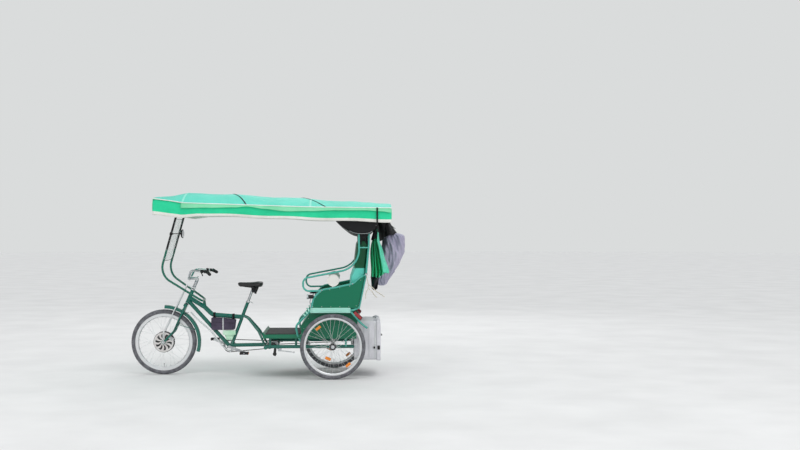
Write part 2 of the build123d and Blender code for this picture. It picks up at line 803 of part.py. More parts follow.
# the arm loops lie a little further in than the edge tubes that they end on
loop_y = arm_y - 7
arm_loop = [
    (arm_top_x, loop_y, bow_z(arm_top_x, loop_y, roof_half_width, bow_drop)),
    (936.0, loop_y, 1113.0),
    (374.0, loop_y, 1004.0),
    (374.0, loop_y, 878.0),
    (560.0, loop_y, 882.0),
]
with BuildPart() as body_frame:
    for side in (-1, 1):
        low, high = sorted((side * (rail_y - rail_width / 2), side * (rail_y + rail_width / 2)))
        low_z = rail_top_z - rail_height
        add(
            plate(
                [
                    (rail_front_x, low_z), (rail_rear_x, low_z),
                    (rail_rear_x, rail_top_z), (rail_front_x, rail_top_z),
                ],
                low, high,
            )
        )
    for path_points, radius, bends in (
        (front_bend, body_tube_radius, [70, 50]),
        (diagonal, body_tube_radius, [40]),
        (rail_tail, body_tube_radius, [60]),
        (rear_post, trim_tube_radius, [300, 400]),
        (panel_edge, trim_tube_radius, [90, 90, 300, 90]),
        (arm_loop, trim_tube_radius, [220, 58, 58]),
    ):
        for points in both_sides(path_points):
            add(tube(points, radius, bends))
    # short struts between the arm loop and the rear post, and across behind the back
    for points in both_sides([(931.0, loop_y, 1312.0), (1029.0, post_y, 1312.0)]):
        add(tube(points, 7))
    add(tube([(1029.5, -post_y, 1312.0), (1029.5, post_y, 1312.0)], trim_tube_radius))
    # cross tubes under the seat and the uprights that carry the rear one
    upright_x, upright_y = rail_rear_x - 42, side_tube_y + 12
    for x in (rail_front_x + 20, upright_x):
        add(tube([(x, -rail_y, rail_mid_z - 4), (x, rail_y, rail_mid_z - 4)], body_tube_radius))
    upright = [(upright_x, upright_y, side_tube_z), (upright_x, upright_y, rail_mid_z)]
    for points in both_sides(upright):
        add(tube(points, body_tube_radius))
    add(chassis.part, mode=Mode.SUBTRACT)
save(body_frame, "body_frame")

# Side panels: thin sheets that fill the frame between seat rail and edge tube
panel_inner_y = arm_y - 6 - panel_sheet / 2
side_outline = [
    (rail_front_x + 2, rail_top_z),
    (478.0, 812.0),
    (520.0, 864.0),
    (566.0, 892.0),
    (700.0, 914.0),
    (868.0, 950.0),
    (985.0, 1030.0),
    (920.0, rail_top_z),
]
side_panels = []
for name, side in (("side_panel_left", -1), ("side_panel_right", 1)):
    low, high = sorted((side * panel_inner_y, side * (panel_inner_y + panel_sheet)))
    with BuildPart() as side_panel:
        add(plate(side_outline, low, high))
        add(body_frame.part, mode=Mode.SUBTRACT)
    save(side_panel, name)
    side_panels.append(side_panel.part)

with BuildPart() as seat_board:
    add(
        plate(
            [
                (rail_front_x + 10, rail_top_z),
                (915.0, rail_top_z),
                (915.0, rail_top_z + seat_board_thickness),
                (rail_front_x + 10, rail_top_z + seat_board_thickness),
            ],
            -panel_inner_y, panel_inner_y,
        )
    )
    add(body_frame.part, mode=Mode.SUBTRACT)
save(seat_board, "seat_board")

# Back panel between the rear posts, and the padded back in front of it
with BuildPart() as back_panel:
    add(
        plate(
            [
                (918.0, 722.0), (990.0, 1040.0), (1018.0, 1317.0), (1024.0, 1400.0),
                (1030.0, 1400.0), (1024.0, 1317.0), (997.0, 1040.0), (926.0, 722.0),
            ],
            -post_y, post_y,
        )
    )
    add(body_frame.part, mode=Mode.SUBTRACT)
save(back_panel, "back_panel")

soft_gap = 0.3
seat_low_z = rail_top_z + seat_board_thickness + soft_gap
seat_high_z = seat_low_z + seat_cushion_thickness
cushion_half_width = panel_inner_y - 12
with BuildPart() as seat_cushion:
    add(
        plate(
            [
                (rail_front_x + 44, seat_low_z), (905.0, seat_low_z),
                (905.0, seat_high_z), (rail_front_x + 44, seat_high_z),
            ],
            -cushion_half_width, cushion_half_width,
        )
    )
    fillet(seat_cushion.edges().filter_by(Axis.Y), 22)
save(seat_cushion, "seat_cushion")

back_low_z = seat_high_z + 2
back_half_width = post_y - 16
with BuildPart() as back_cushion:
    add(
        plate(
            [
                (846.0, back_low_z), (850.0, 990.0), (884.0, 1090.0), (904.0, 1240.0), (922.0, 1400.0),
                (1023.6, 1400.0), (1017.6, 1317.0), (989.6, 1040.0), (947.0, back_low_z),
            ],
            -back_half_width, back_half_width,
        )
    )
    fillet(back_cushion.edges().filter_by(Axis.Y), 14)
save(back_cushion, "back_cushion")

# Box under the seat: one bent sheet, two sides and the kick panel, open below and behind
sheet = 4.0
box_outline = [
    (448.0, 672.0), (346.0, 520.0), (356.0, 440.0), (392.0, 396.0), (905.0, 396.0), (925.0, 672.0),
]
box_space = [
    (453.0, 800.0), (453.0, 672.0), (351.0, 520.0), (361.0, 442.0),
    (400.0, 380.0), (1000.0, 380.0), (1000.0, 800.0),
]
with BuildPart() as seat_box:
    add(plate(box_outline, -seat_box_half_width, seat_box_half_width))
    add(plate(box_space, sheet - seat_box_half_width, seat_box_half_width - sheet), mode=Mode.SUBTRACT)
    add(body_frame.part, mode=Mode.SUBTRACT)
save(seat_box, "seat_box")

# Floor pan: a plate with a side skirt and an upturned front edge, with a mat on it
skirt_z = 401.0
front_lip = 22.0
with BuildPart() as floor_pan:
    add(
        plate(
            [
                (floor_front_x, skirt_z), (floor_rear_x, skirt_z), (floor_rear_x, floor_z),
                (floor_front_x + 20, floor_z), (floor_front_x + 4, floor_z + front_lip),
                (floor_front_x, floor_z + front_lip),
            ],
            -floor_half_width, floor_half_width,
        )
    )
    add(
        plate(
            [
                (floor_front_x + sheet, 350.0), (floor_rear_x + 50, 350.0),
                (floor_rear_x + 50, floor_z - 6), (floor_front_x + sheet, floor_z - 6),
            ],
            sheet - floor_half_width, floor_half_width - sheet,
        ),
        mode=Mode.SUBTRACT,
    )
    add(chassis.part, mode=Mode.SUBTRACT)
    add(body_frame.part, mode=Mode.SUBTRACT)
    add(seat_box.part, mode=Mode.SUBTRACT)
save(floor_pan, "floor_pan")

mat_thickness = 5.0
with BuildPart() as floor_mat:
    add(
        plate(
            [
                (floor_front_x + 24, floor_z), (floor_rear_x - 20, floor_z),
                (floor_rear_x - 20, floor_z + mat_thickness), (floor_front_x + 24, floor_z + mat_thickness),
            ],
            20 - floor_half_width, floor_half_width - 20,
        )
    )
    add(body_frame.part, mode=Mode.SUBTRACT)
save(floor_mat, "floor_mat")

# Small fittings on the body
disc_x, disc_z, disc_radius = 675.0, 985.0, 60.0
with BuildPart() as side_discs:
    for y in (-arm_y + 3, arm_y - 9):
        add(disc(disc_x, y, y + 6, disc_z, disc_radius))
        # a tab joins the disc to the edge tube below it
        add(plate([(662.0, 900.0), (688.0, 904.0), (688.0, 935.0), (662.0, 935.0)], y, y + 6))
    add(body_frame.part, mode=Mode.SUBTRACT)
save(side_discs, "side_discs")

with BuildPart() as front_lamps:
    for side in (-1, 1):
        y = side * (arm_y - 6)
        with BuildSketch(Plane(origin=(482.0, y, 822.0), z_dir=(-1, 0, 0))):
            Circle(20)
        extrude(amount=70, taper=3)
    add(body_frame.part, mode=Mode.SUBTRACT)
    for part in side_panels:
        add(part, mode=Mode.SUBTRACT)
save(front_lamps, "front_lamps")

with BuildPart() as tail_reflectors:
    for side in (-1, 1):
        low, high = sorted((side * (rail_y - 28), side * (rail_y - 3)))
        add(plate([(870.0, 652.0), (948.0, 584.0), (966.0, 612.0), (896.0, 680.0)], low, high))
    add(body_frame.part, mode=Mode.SUBTRACT)
save(tail_reflectors, "tail_reflectors")

# Rear box with an open back, closed by a lid that hinges along its top edge
lid_gap = 1.5
lid_front_x = box_rear_x + lid_gap
hinge_x = box_rear_x + 10
hinge_z = box_top_z + lid_overhang + 6
hinge_pin_radius = 3.0
hinge_barrel_radius = 5.2
hinge_places_y = (-210.0, 210.0)
knuckle_half = 18.0
with BuildPart() as rear_box:
    add(
        plate(
            [
                (box_front_x, box_bottom_z), (box_rear_x, box_bottom_z),
                (box_rear_x, box_top_z), (box_front_x, box_top_z),
            ],
            -box_half_width, box_half_width,
        )
    )
    fillet(rear_box.edges().filter_by(Axis.X), 16)
    add(
        plate(
            [
                (box_front_x + box_wall, box_bottom_z + box_wall),
                (box_rear_x + 1, box_bottom_z + box_wall),
                (box_rear_x + 1, box_top_z - box_wall), (box_front_x + box_wall, box_top_z - box_wall),
            ],
            box_wall - box_half_width, box_half_width - box_wall,
        ),
        mode=Mode.SUBTRACT,
    )
    # two hinge brackets on the top, each with a pin between its two ears
    for place in hinge_places_y:
        for low in (place - knuckle_half - 14, place + knuckle_half + 0.4):
            high = low + 13.6
            add(
                plate(
                    [
                        (hinge_x - 38, box_top_z), (hinge_x - 12, box_top_z), (hinge_x - 12, hinge_z - 5.2),
                        (hinge_x - 3, hinge_z - 4.2), (hinge_x - 2, hinge_z + 4.8), (hinge_x - 20, hinge_z),
                        (hinge_x - 38, box_top_z + 6),
                    ],
                    low, high,
                )
            )
            add(disc(hinge_x, low, high, hinge_z, hinge_barrel_radius))
        add(disc(hinge_x, place - knuckle_half - 14, place + knuckle_half + 14, hinge_z, hinge_pin_radius))
    add(chassis.part, mode=Mode.SUBTRACT)
    add(body_frame.part, mode=Mode.SUBTRACT)
save(rear_box, "rear_box")

with BuildPart() as box_lid:
    add(
        plate(
            [
                (lid_front_x, box_bottom_z - lid_overhang),
                (lid_front_x + lid_depth, box_bottom_z - lid_overhang),
                (lid_front_x + lid_depth, box_top_z + lid_overhang),
                (lid_front_x, box_top_z + lid_overhang),
            ],
            -box_half_width - lid_overhang, box_half_width + lid_overhang,
        )
    )
    fillet(box_lid.edges().filter_by(Axis.X), 20)
    fillet(box_lid.faces().sort_by(Axis.X)[-1].edges(), 10)
    add(
        plate(
            [
                (lid_front_x - 1, box_bottom_z), (lid_front_x + lid_depth - box_wall, box_bottom_z),
                (lid_front_x + lid_depth - box_wall, box_top_z), (lid_front_x - 1, box_top_z),
            ],
            -box_half_width, box_half_width,
        ),
        mode=Mode.SUBTRACT,
    )
    for place in hinge_places_y:
        low, high = place - knuckle_half, place + knuckle_half
        add(disc(hinge_x, low, high, hinge_z, hinge_barrel_radius))
        add(
            plate(
                [
                    (hinge_x, hinge_z - hinge_barrel_radius), (hinge_x + 24, box_top_z + lid_overhang - 2),
                    (hinge_x + 24, box_top_z + lid_overhang + 2), (hinge_x, hinge_z + hinge_barrel_radius),
                ],
                low, high,
            )
        )
        add(disc(hinge_x, low - 1, high + 1, hinge_z, hinge_pin_radius + running_gap), mode=Mode.SUBTRACT)
save(box_lid, "box_lid")

# Roof frame and the two masts
mast_foot = [(-664.0, 150.0, 764.0), (-1072.0, mast_y, 1036.0)]
mast_top_z = bow_z(mast_top_x, mast_y, roof_half_width, bow_drop)
mast_points = mast_foot + [(mast_top_x, mast_y, mast_top_z)]
with BuildPart() as mast_hoop:
    left = [(x, -y, z) for x, y, z in reversed(mast_points)]
    add(tube(left + mast_points, mast_radius, [168, 70, 70, 168]))
    add(plate([(-675.0, 690.0), (-635.0, 690.0), (-650.0, 770.0), (-670.0, 770.0)], -9, 9))
    add(main_frame.part, mode=Mode.SUBTRACT)
save(mast_hoop, "mast_hoop")

with BuildPart() as roof_frame:
    for side in (-1, 1):
        rail = [(bows_x[0], side * roof_half_width, canopy_at(bows_x[0])[0] - bow_drop)]
        for x, z, _, _ in canopy_stations[1:-1]:
            rail.append((x, side * roof_half_width, z - bow_drop))
        rail.append((bows_x[-1], side * roof_half_width, canopy_at(bows_x[-1])[0] - bow_drop))
        for start, end in zip(rail, rail[1:]):
            add(tube([start, end], roof_tube_radius))
        for x, y, z in rail[1:-1]:
            with Locations((x, y, z)):
                Sphere(roof_tube_radius)
    for x in bows_x:
        side_z, rise = canopy_at(x)
        with BuildPart(mode=Mode.PRIVATE) as bow:
            with BuildLine():
                arc = ThreePointArc(
                    (x, -roof_half_width, side_z - bow_drop),
                    (x, 0, side_z - bow_drop + rise),
                    (x, roof_half_width, side_z - bow_drop),
                )
            with BuildSketch(Plane(origin=arc @ 0, z_dir=arc % 0)):
                Circle(roof_tube_radius)
            sweep()
        add(bow.part)
    add(mast_hoop.part, mode=Mode.SUBTRACT)
    add(body_frame.part, mode=Mode.SUBTRACT)
save(roof_frame, "roof_frame")

# The canopy's top sheet: arched bands lofted from station to station
with BuildPart() as canopy_top:
    for x, side_z, rise, _ in canopy_stations:
        with BuildSketch(Plane(origin=(x, 0, 0), x_dir=(0, 1, 0), z_dir=(1, 0, 0))):
            with BuildLine():
                half = canopy_half_width
                ThreePointArc((-half, side_z), (0, side_z + rise), (half, side_z))
                Line((half, side_z), (half, side_z - cloth))
                ThreePointArc((half, side_z - cloth), (0, side_z + rise - cloth), (-half, side_z - cloth))
                Line((-half, side_z - cloth), (-half, side_z))
            make_face()
    loft(ruled=True)
save(canopy_top, "canopy_top")

# The valance hangs from the edge all round, and its ends reach up to the arched sheet
first_x, last_x = canopy_stations[0][0], canopy_stations[-1][0]
sewn_gap = 0.05
with BuildPart() as canopy_valance:
    for x, side_z, rise, hem_z in canopy_stations:
        with BuildSketch(Plane(origin=(x, 0, 0), x_dir=(0, 1, 0), z_dir=(1, 0, 0))):
            with BuildLine():
                half = canopy_half_width
                edge_z = side_z - cloth - sewn_gap
                ThreePointArc((-half, edge_z), (0, edge_z + rise), (half, edge_z))
                Polyline((half, edge_z), (half, hem_z), (-half, hem_z), (-half, edge_z))
            make_face()
    loft(ruled=True)
    add(
        plate(
            [
                (first_x + cloth, 1500.0), (last_x - cloth, 1500.0),
                (last_x - cloth, 1950.0), (first_x + cloth, 1950.0),
            ],
            cloth - canopy_half_width, canopy_half_width - cloth,
        ),
        mode=Mode.SUBTRACT,
    )
save(canopy_valance, "canopy_valance")

# Black stowage bag slung under the rear of the roof; the posts pass through it
bag_half_width = 485.0
post_clearance = 0.3
with BuildPart() as roof_bag:
    with BuildSketch(side_plane(bag_half_width)):
        with BuildLine():
            ThreePointArc((652.0, 1640.0), (756.0, 1520.0), (876.0, 1430.0))
            ThreePointArc((876.0, 1430.0), (956.0, 1417.0), (1040.0, 1428.0))
            Polyline((1040.0, 1428.0), (1088.0, 1474.0), (1120.0, 1560.0), (1122.0, 1640.0), (652.0, 1640.0))
        make_face()
    extrude(amount=2 * bag_half_width)
    for path_points, bends in ((rear_post, [300, 400]), (arm_loop, [220, 58, 58])):
        for points in both_sides(path_points):
            add(tube(points, trim_tube_radius + post_clearance, bends), mode=Mode.SUBTRACT)
save(roof_bag, "roof_bag")

# The gathered side curtain and the folded rain cover hang behind the seat back on straps.
# Each row: height, middle x, length along X, width across, corner radius.
curtain_y, cover_y = -315.0, 20.0
curtain_top_z, cover_top_z = 1400.0, 1500.0
curtain_rows = [
    (curtain_top_z, 1095.0, 84.0, 150.0, 30.0),
    (1289.0, 1111.0, 134.0, 200.0, 45.0),
    (1182.0, 1125.0, 162.0, 214.0, 55.0),
    (1068.0, 1149.0, 210.0, 226.0, 60.0),
    (1008.0, 1121.0, 154.0, 220.0, 50.0),
]
cover_rows = [
    (cover_top_z, 1268.0, 130.0, 300.0, 50.0),
    (1436.0, 1300.0, 218.0, 380.0, 80.0),
    (1349.0, 1297.0, 238.0, 390.0, 90.0),
    (1248.0, 1281.0, 250.0, 390.0, 90.0),
    (1132.0, 1232.0, 236.0, 370.0, 80.0),
    (1002.0, 1152.0, 200.0, 300.0, 60.0),
    (930.0, 1160.0, 60.0, 170.0, 25.0),
]


def hanging_bundle(rows, y):
    with BuildPart() as bundle:
        for z, x, length, width, corner in rows:
            with BuildSketch(Plane.XY.offset(z)):
                with Locations((x, y)):
                    RectangleRounded(length, width, corner)
        loft(ruled=True)
    return bundle


side_curtain = hanging_bundle(curtain_rows, curtain_y)
save(side_curtain, "side_curtain")
rain_cover = hanging_bundle(cover_rows, cover_y)
save(rain_cover, "rain_cover")

strap_width = 25.0
strap_top_z = 1742.0
with BuildPart() as cover_straps:
    # two from the roof's rear bow, under the hem of the valance, to the rain cover
    for y in (-60.0, 100.0):
        add(
            plate(
                [
                    (1243.0, strap_top_z), (1243.0, 1552.0), (1312.0, cover_top_z + soft_gap),
                    (1316.0, cover_top_z + soft_gap), (1245.0, 1555.0), (1245.0, strap_top_z),
                ],
                y - strap_width / 2, y + strap_width / 2,
            )
        )
    # and one from the stowage bag to the side curtain
    strap_low_z = curtain_top_z + soft_gap
    add(
        plate(
            [(1086.0, strap_low_z), (1088.0, strap_low_z), (1088.0, 1480.0), (1086.0, 1480.0)],
            curtain_y - strap_width, curtain_y,
        )
    )
    add(roof_frame.part, mode=Mode.SUBTRACT)
    add(roof_bag.part, mode=Mode.SUBTRACT)
save(cover_straps, "cover_straps")

# Clear film between the two masts
film = 1.5
film_low_z, film_high_z = 1175.0, 1600.0
mast_low = Vector(-1072.0, mast_y, 1036.0)
mast_high = Vector(*mast_points[-1])


def mast_x(z):
    return mast_low.X + (mast_high.X - mast_low.X) * (z - mast_low.Z) / (mast_high.Z - mast_low.Z)


with BuildPart() as windscreen:
    add(
        plate(
            [
                (mast_x(film_low_z), film_low_z), (mast_x(film_low_z) + film, film_low_z),
                (mast_x(film_high_z) + film, film_high_z), (mast_x(film_high_z), film_high_z),
            ],
            -mast_y, mast_y,
        )
    )
    add(mast_hoop.part, mode=Mode.SUBTRACT)
save(windscreen, "windscreen")

# Rear-view mirror on the left mast
mirror_z = 1450.0
mirror_x = -842.0
with BuildPart() as mirror_left:
    clamp_mid = Vector(mast_x(mirror_z), -mast_y, mirror_z)
    up = (mast_high - mast_low).normalized()
    up = Vector(up.X, 0, up.Z).normalized()
    add(tube([clamp_mid - up * 14, clamp_mid + up * 14], mast_radius + 5))
    add(tube([clamp_mid, (mirror_x - 6, -mast_y, mirror_z)], 4))
    with BuildSketch(Plane(origin=(mirror_x, -mast_y - 30, mirror_z), x_dir=(0, 1, 0), z_dir=(1, 0, 0))):
        Ellipse(68, 44)
    extrude(amount=10, both=True)
    add(mast_hoop.part, mode=Mode.SUBTRACT)
    add(windscreen.part, mode=Mode.SUBTRACT)
save(mirror_left, "mirror_left")

# Battery bag under the main tube and a small pouch above the crank bracket
bag_half = 48.0
with BuildPart() as battery_bag:
    with BuildSketch(side_plane(bag_half)):
        with BuildLine():
            Polyline((-585.0, 588.0), (-330.0, 570.0), (-330.0, 458.0), (-585.0, 458.0), close=True)
        make_face()
    extrude(amount=2 * bag_half)
    fillet(battery_bag.edges().filter_by(Axis.Y), 10)
    add(main_frame.part, mode=Mode.SUBTRACT)
save(battery_bag, "battery_bag")

with BuildPart() as frame_pouch:
    with BuildSketch(side_plane(36)):
        with BuildLine():
            Polyline((-470.0, 457.7), (-330.0, 457.7), (-364.0, 352.0), (-432.0, 352.0), close=True)
        make_face()
    extrude(amount=72)
    fillet(frame_pouch.edges().filter_by(Axis.Y), 12)
    add(main_frame.part, mode=Mode.SUBTRACT)
save(frame_pouch, "frame_pouch")
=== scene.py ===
import math
import bpy
from mathutils import Matrix, Vector


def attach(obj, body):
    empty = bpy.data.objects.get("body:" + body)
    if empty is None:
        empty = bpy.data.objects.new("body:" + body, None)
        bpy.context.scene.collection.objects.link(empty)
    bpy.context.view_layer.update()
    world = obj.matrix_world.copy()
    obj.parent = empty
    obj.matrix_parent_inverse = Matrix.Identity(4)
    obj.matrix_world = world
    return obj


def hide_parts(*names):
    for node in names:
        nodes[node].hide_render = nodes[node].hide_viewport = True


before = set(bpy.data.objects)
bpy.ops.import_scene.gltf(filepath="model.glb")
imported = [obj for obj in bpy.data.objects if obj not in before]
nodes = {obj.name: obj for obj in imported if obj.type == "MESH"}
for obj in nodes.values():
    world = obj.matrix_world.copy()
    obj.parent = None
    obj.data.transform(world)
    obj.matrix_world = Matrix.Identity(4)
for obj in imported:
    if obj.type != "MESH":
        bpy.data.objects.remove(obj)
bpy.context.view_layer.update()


# Camera, lamps and floor. A long lens stands about twelve metres off, level and a little to the
# right of the middle, as the photograph was taken. Large soft lamps and a pale sky light it.
def linear(code):
    """An sRGB hex colour as linear values, with full alpha."""
    parts = [int(code[i:i + 2], 16) / 255 for i in (1, 3, 5)]
    return [p / 12.92 if p <= 0.04045 else ((p + 0.055) / 1.055) ** 2.4 for p in parts] + [1.0]


def socket(source):
    """A node stands for the first of its outputs that is in use."""
    if isinstance(source, bpy.types.Node):
        return next(output for output in source.outputs if output.enabled)
    return source


def add_node(owner, kind, inputs=None, stops=(), **settings):
    """Adds a shader node with its settings and, for a ramp, two stops of place and colour. Links or
    fills its inputs."""
    made = owner.node_tree.nodes.new("ShaderNode" + kind)
    for key, value in settings.items():
        setattr(made, key, value)
    for number, (place, colour) in enumerate(stops):
        made.color_ramp.elements[number].position = place
        made.color_ramp.elements[number].color = linear(colour)
    for key, value in (inputs or {}).items():
        value = socket(value)
        if isinstance(value, bpy.types.NodeSocket):
            owner.node_tree.links.new(value, made.inputs[key])
        else:
            made.inputs[key].default_value = value
    return made


def new_material(name, **sockets):
    """A material with its principled shader's own sockets filled."""
    material = bpy.data.materials.new(name)
    material.use_nodes = True
    shader = material.node_tree.nodes["Principled BSDF"]
    for key, value in sockets.items():
        shader.inputs[key.replace("_", " ")].default_value = value
    return material, shader


def wire(shader, **sources):
    """Links nodes to a shader's own sockets."""
    for key, source in sources.items():
        shader.id_data.links.new(socket(source), shader.inputs[key.replace("_", " ")])


camera_data = bpy.data.cameras.new("camera")
camera_data.lens = 54.0
camera_data.sensor_width = 36.0
camera_data.shift_y = 1.5 / 800
camera_data.clip_end = 200.0
camera = bpy.data.objects.new("camera", camera_data)
bpy.context.scene.collection.objects.link(camera)
camera.location = (0.818, -12.464, 1.523)
camera.rotation_euler = (math.radians(90), 0, math.radians(-2.5))
bpy.context.scene.camera = camera
bpy.context.scene.view_settings.view_transform = "Standard"

for name, kind, place, size, power in (
    ("key_lamp", "AREA", (-5.0, -9.0, 7.0), 4.5, 200),
    ("fill_lamp", "AREA", (7.0, -6.0, 3.5), 5.0, 80),
    ("back_lamp", "AREA", (1.5, 7.0, 5.5), 5.0, 90),
    ("overhead_softbox", "SUN", (1.6, -2.6, 6.0), math.radians(25), 0.5),
):
    lamp = bpy.data.lights.new(name, kind)
    lamp.energy = power
    if kind == "AREA":
        lamp.size = size
    else:
        lamp.angle = size
    holder = bpy.data.objects.new(name, lamp)
    bpy.context.scene.collection.objects.link(holder)
    holder.location = place
    holder.rotation_euler = (Vector((0, 0, 0.8)) - Vector(place)).to_track_quat("-Z", "Y").to_euler()

world = bpy.data.worlds.new("pale sky")
bpy.context.scene.world = world
world.use_nodes = True
sky = world.node_tree.nodes["Background"]
sky.inputs["Color"].default_value = linear("#F4F6F7")
# a broad bright patch overhead, so that glossy paint shows a light top and dark sides
look = add_node(world, "TexCoord")
upward = add_node(world, "SeparateXYZ", {"Vector": look.outputs["Generated"]})
wire(sky, Strength=add_node(world, "MapRange",
    {"Value": upward.outputs["Z"], "From Min": 0.55, "From Max": 0.85, "To Min": 0.42, "To Max": 1.36},
    interpolation_type="SMOOTHSTEP"))
# the backdrop is seen by the camera and through clear film, and in part by glossy surfaces
rays = add_node(world, "LightPath")
seen = add_node(world, "Math", {0: rays.outputs["Is Glossy Ray"], 1: 0.3, 2: rays.outputs["Is Camera Ray"]},
    operation="MULTIPLY_ADD")
backdrop_share = add_node(world, "Math", {0: seen, 1: rays.outputs["Is Transmission Ray"]}, operation="ADD",
    use_clamp=True)
backdrop = add_node(world, "Background", {"Color": linear("#DADCDC")})
mixed = add_node(world, "MixShader", {"Fac": backdrop_share, 1: sky, 2: backdrop})
wire(world.node_tree.nodes["World Output"], Surface=mixed)

bpy.ops.mesh.primitive_circle_add(vertices=96, radius=60, fill_type="NGON", location=(0, 0, 0))
floor = bpy.context.object
floor.name = "floor"
concrete, shader = new_material("smooth pale concrete", Roughness=0.75)
coords = add_node(concrete, "TexCoord")
cloud = add_node(concrete, "TexNoise", {"Vector": coords.outputs["Object"], "Scale": 1.4, "Detail": 5.0})
wire(shader, Base_Color=add_node(concrete, "ValToRGB", {"Fac": cloud},
    stops=[(0.3, "#DBDBDB"), (0.7, "#E4E4E4")]))
floor.data.materials.append(concrete)


# Frame: round steel tubes, bent and welded, then powder coated a dark glossy teal; the body's tubes are
# painted a paler teal, a painted highlight for the sky's gleam on the same gloss, roof and tensioner black.
# The imported solids are kept and shaded smooth up to each edge.
def smooth(piece):
    piece.data.polygons.foreach_set("use_smooth", [True] * len(piece.data.polygons))


def dress(names, material):
    """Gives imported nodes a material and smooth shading."""
    for name in names.split():
        part = nodes[name]
        part.data.materials.clear()
        part.data.materials.append(material)
        smooth(part)
        weld = part.modifiers.new("weld", "WELD")
        weld.merge_threshold = 0.00002
        split = part.modifiers.new("edges", "EDGE_SPLIT")
        split.split_angle = math.radians(32)


def enamel(name, colour, dusty="#8C9088", roughness=0.16, chips="#B9D8CD", chip_share=0.72, upper=None,
        coat_weight=0.35):
    """Powder coat: faint orange peel, road dust low down and paler chips. Another colour may
    start at a height."""
    material, shader = new_material(name, Specular_IOR_Level=0.35, Coat_Weight=coat_weight,
        Coat_Roughness=0.05)
    coords = add_node(material, "TexCoord")
    peel = add_node(material, "TexNoise", {"Vector": coords.outputs["Object"], "Scale": 420.0,
        "Detail": 2.0})
    cloud = add_node(material, "TexNoise", {"Vector": coords.outputs["Object"], "Scale": 6.0,
        "Detail": 6.0})
    chip = add_node(material, "TexNoise", {"Vector": coords.outputs["Object"], "Scale": 85.0, "Detail": 8.0,
        "Roughness": 0.7})
    chip_mask = add_node(material, "MapRange",
        {"Value": chip, "From Min": chip_share, "From Max": chip_share + 0.03})
    height = add_node(material, "SeparateXYZ", {"Vector": coords.outputs["Object"]}).outputs["Z"]
    low = add_node(material, "MapRange", {"Value": height, "From Min": 0.75, "From Max": 0.12,
        "To Max": 0.16})
    grime = add_node(material, "Math", {0: low, 1: cloud}, operation="MULTIPLY")
    coat = linear(colour)
    if upper:
        level, upper_colour = upper
        over = add_node(material, "MapRange", {"Value": height, "From Min": level - 0.004,
            "From Max": level + 0.004})
        coat = add_node(material, "Mix", {"Factor": over, 6: coat, 7: linear(upper_colour)},
            data_type="RGBA")
    body = add_node(material, "Mix", {"Factor": grime, 6: coat, 7: linear(dusty)}, data_type="RGBA")
    worn = add_node(material, "Mix", {"Factor": chip_mask, 6: body, 7: linear(chips)}, data_type="RGBA")
    gloss = add_node(material, "MapRange", {"Value": cloud, "To Min": roughness - 0.06,
        "To Max": roughness + 0.14})
    wire(shader, Base_Color=worn, Roughness=gloss,
        Normal=add_node(material, "Bump", {"Strength": 0.05, "Distance": 0.0006, "Height": peel}))
    return material


teal_enamel = enamel("teal powder coat", "#006B5C", coat_weight=0.5)
dress("main_frame chassis fork front_mudguard", teal_enamel)
# the body's tubes have the frame's glossy teal, made paler here as a painted highlight of the sky on them
dress("body_frame", enamel("teal powder coat with painted highlight", "#46AF9F", coat_weight=0.8))
black_enamel = enamel("black powder coat", "#131415", chips="#3A3C3E")
dress("roof_frame chain_tensioner", black_enamel)
dress("mast_hoop", enamel("teal and black powder coat", "#0B6B58", chips="#5E7F76",
    upper=(1.29, "#131415")))


# Bright parts: anodised aluminium rims and rods, chromed axles and seat post, machined steel shaft
# and caliper. All have a fine turned grain, dulled by weather.
def bright_metal(name, colour, roughness):
    material, shader = new_material(name, Metallic=1.0)
    coords = add_node(material, "TexCoord")
    film = add_node(material, "TexNoise", {"Vector": coords.outputs["Object"], "Scale": 24.0,
        "Detail": 6.0})
    gloss = add_node(material, "MapRange", {"Value": film, "To Min": roughness, "To Max": roughness + 0.22})
    fine = add_node(material, "TexNoise", {"Vector": coords.outputs["Object"], "Scale": 900.0,
        "Detail": 2.0})
    wire(shader, Base_Color=add_node(material, "ValToRGB", {"Fac": film},
        stops=[(0.35, colour), (0.85, "#F2F2F2")]), Roughness=gloss,
        Normal=add_node(material, "Bump", {"Strength": 0.06, "Distance": 0.0003, "Height": fine}))
    return material


chrome = bright_metal("chromed steel", "#B9BDC1", 0.10)
white_alloy = bright_metal("satin anodised aluminium", "#ECEEF0", 0.36)
dress("front_rim rear_left_rim rear_right_rim front_spokes rear_left_spokes rear_right_spokes", white_alloy)
dress("front_axle seatpost parking_lever rear_axle", chrome)
dress("truss_rods", white_alloy)
machined = bright_metal("machined steel", "#A6A9AC", 0.28)
dress("jack_shaft brake_caliper", machined)
dress("brake_rotor", bright_metal("ground stainless steel", "#E2DCDA", 0.36))
dress("crankset", bright_metal("satin aluminium", "#A7ABB0", 0.34))
dress("hub_motor rear_left_hub rear_right_hub",
    enamel("black anodised aluminium", "#232427", chips="#7C7E80", roughness=0.3))


# Headset: four turned and chromed steel rings. Two cups are pressed into the head tube's ends, and
# a race and a lock nut sit against them on the steerer.
def only(*objects):
    """Selects just these objects; the last is the active one."""
    bpy.ops.object.select_all(action="DESELECT")
    for thing in objects:
        thing.select_set(True)
    bpy.context.view_layer.objects.active = objects[-1]


def fit(piece, body, material, replaced=None):
    """Gives a finished piece its material, body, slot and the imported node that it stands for."""
    piece.data.materials.clear()
    piece.data.materials.append(material)
    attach(piece, body)
    if replaced:
        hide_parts(replaced)
    return piece


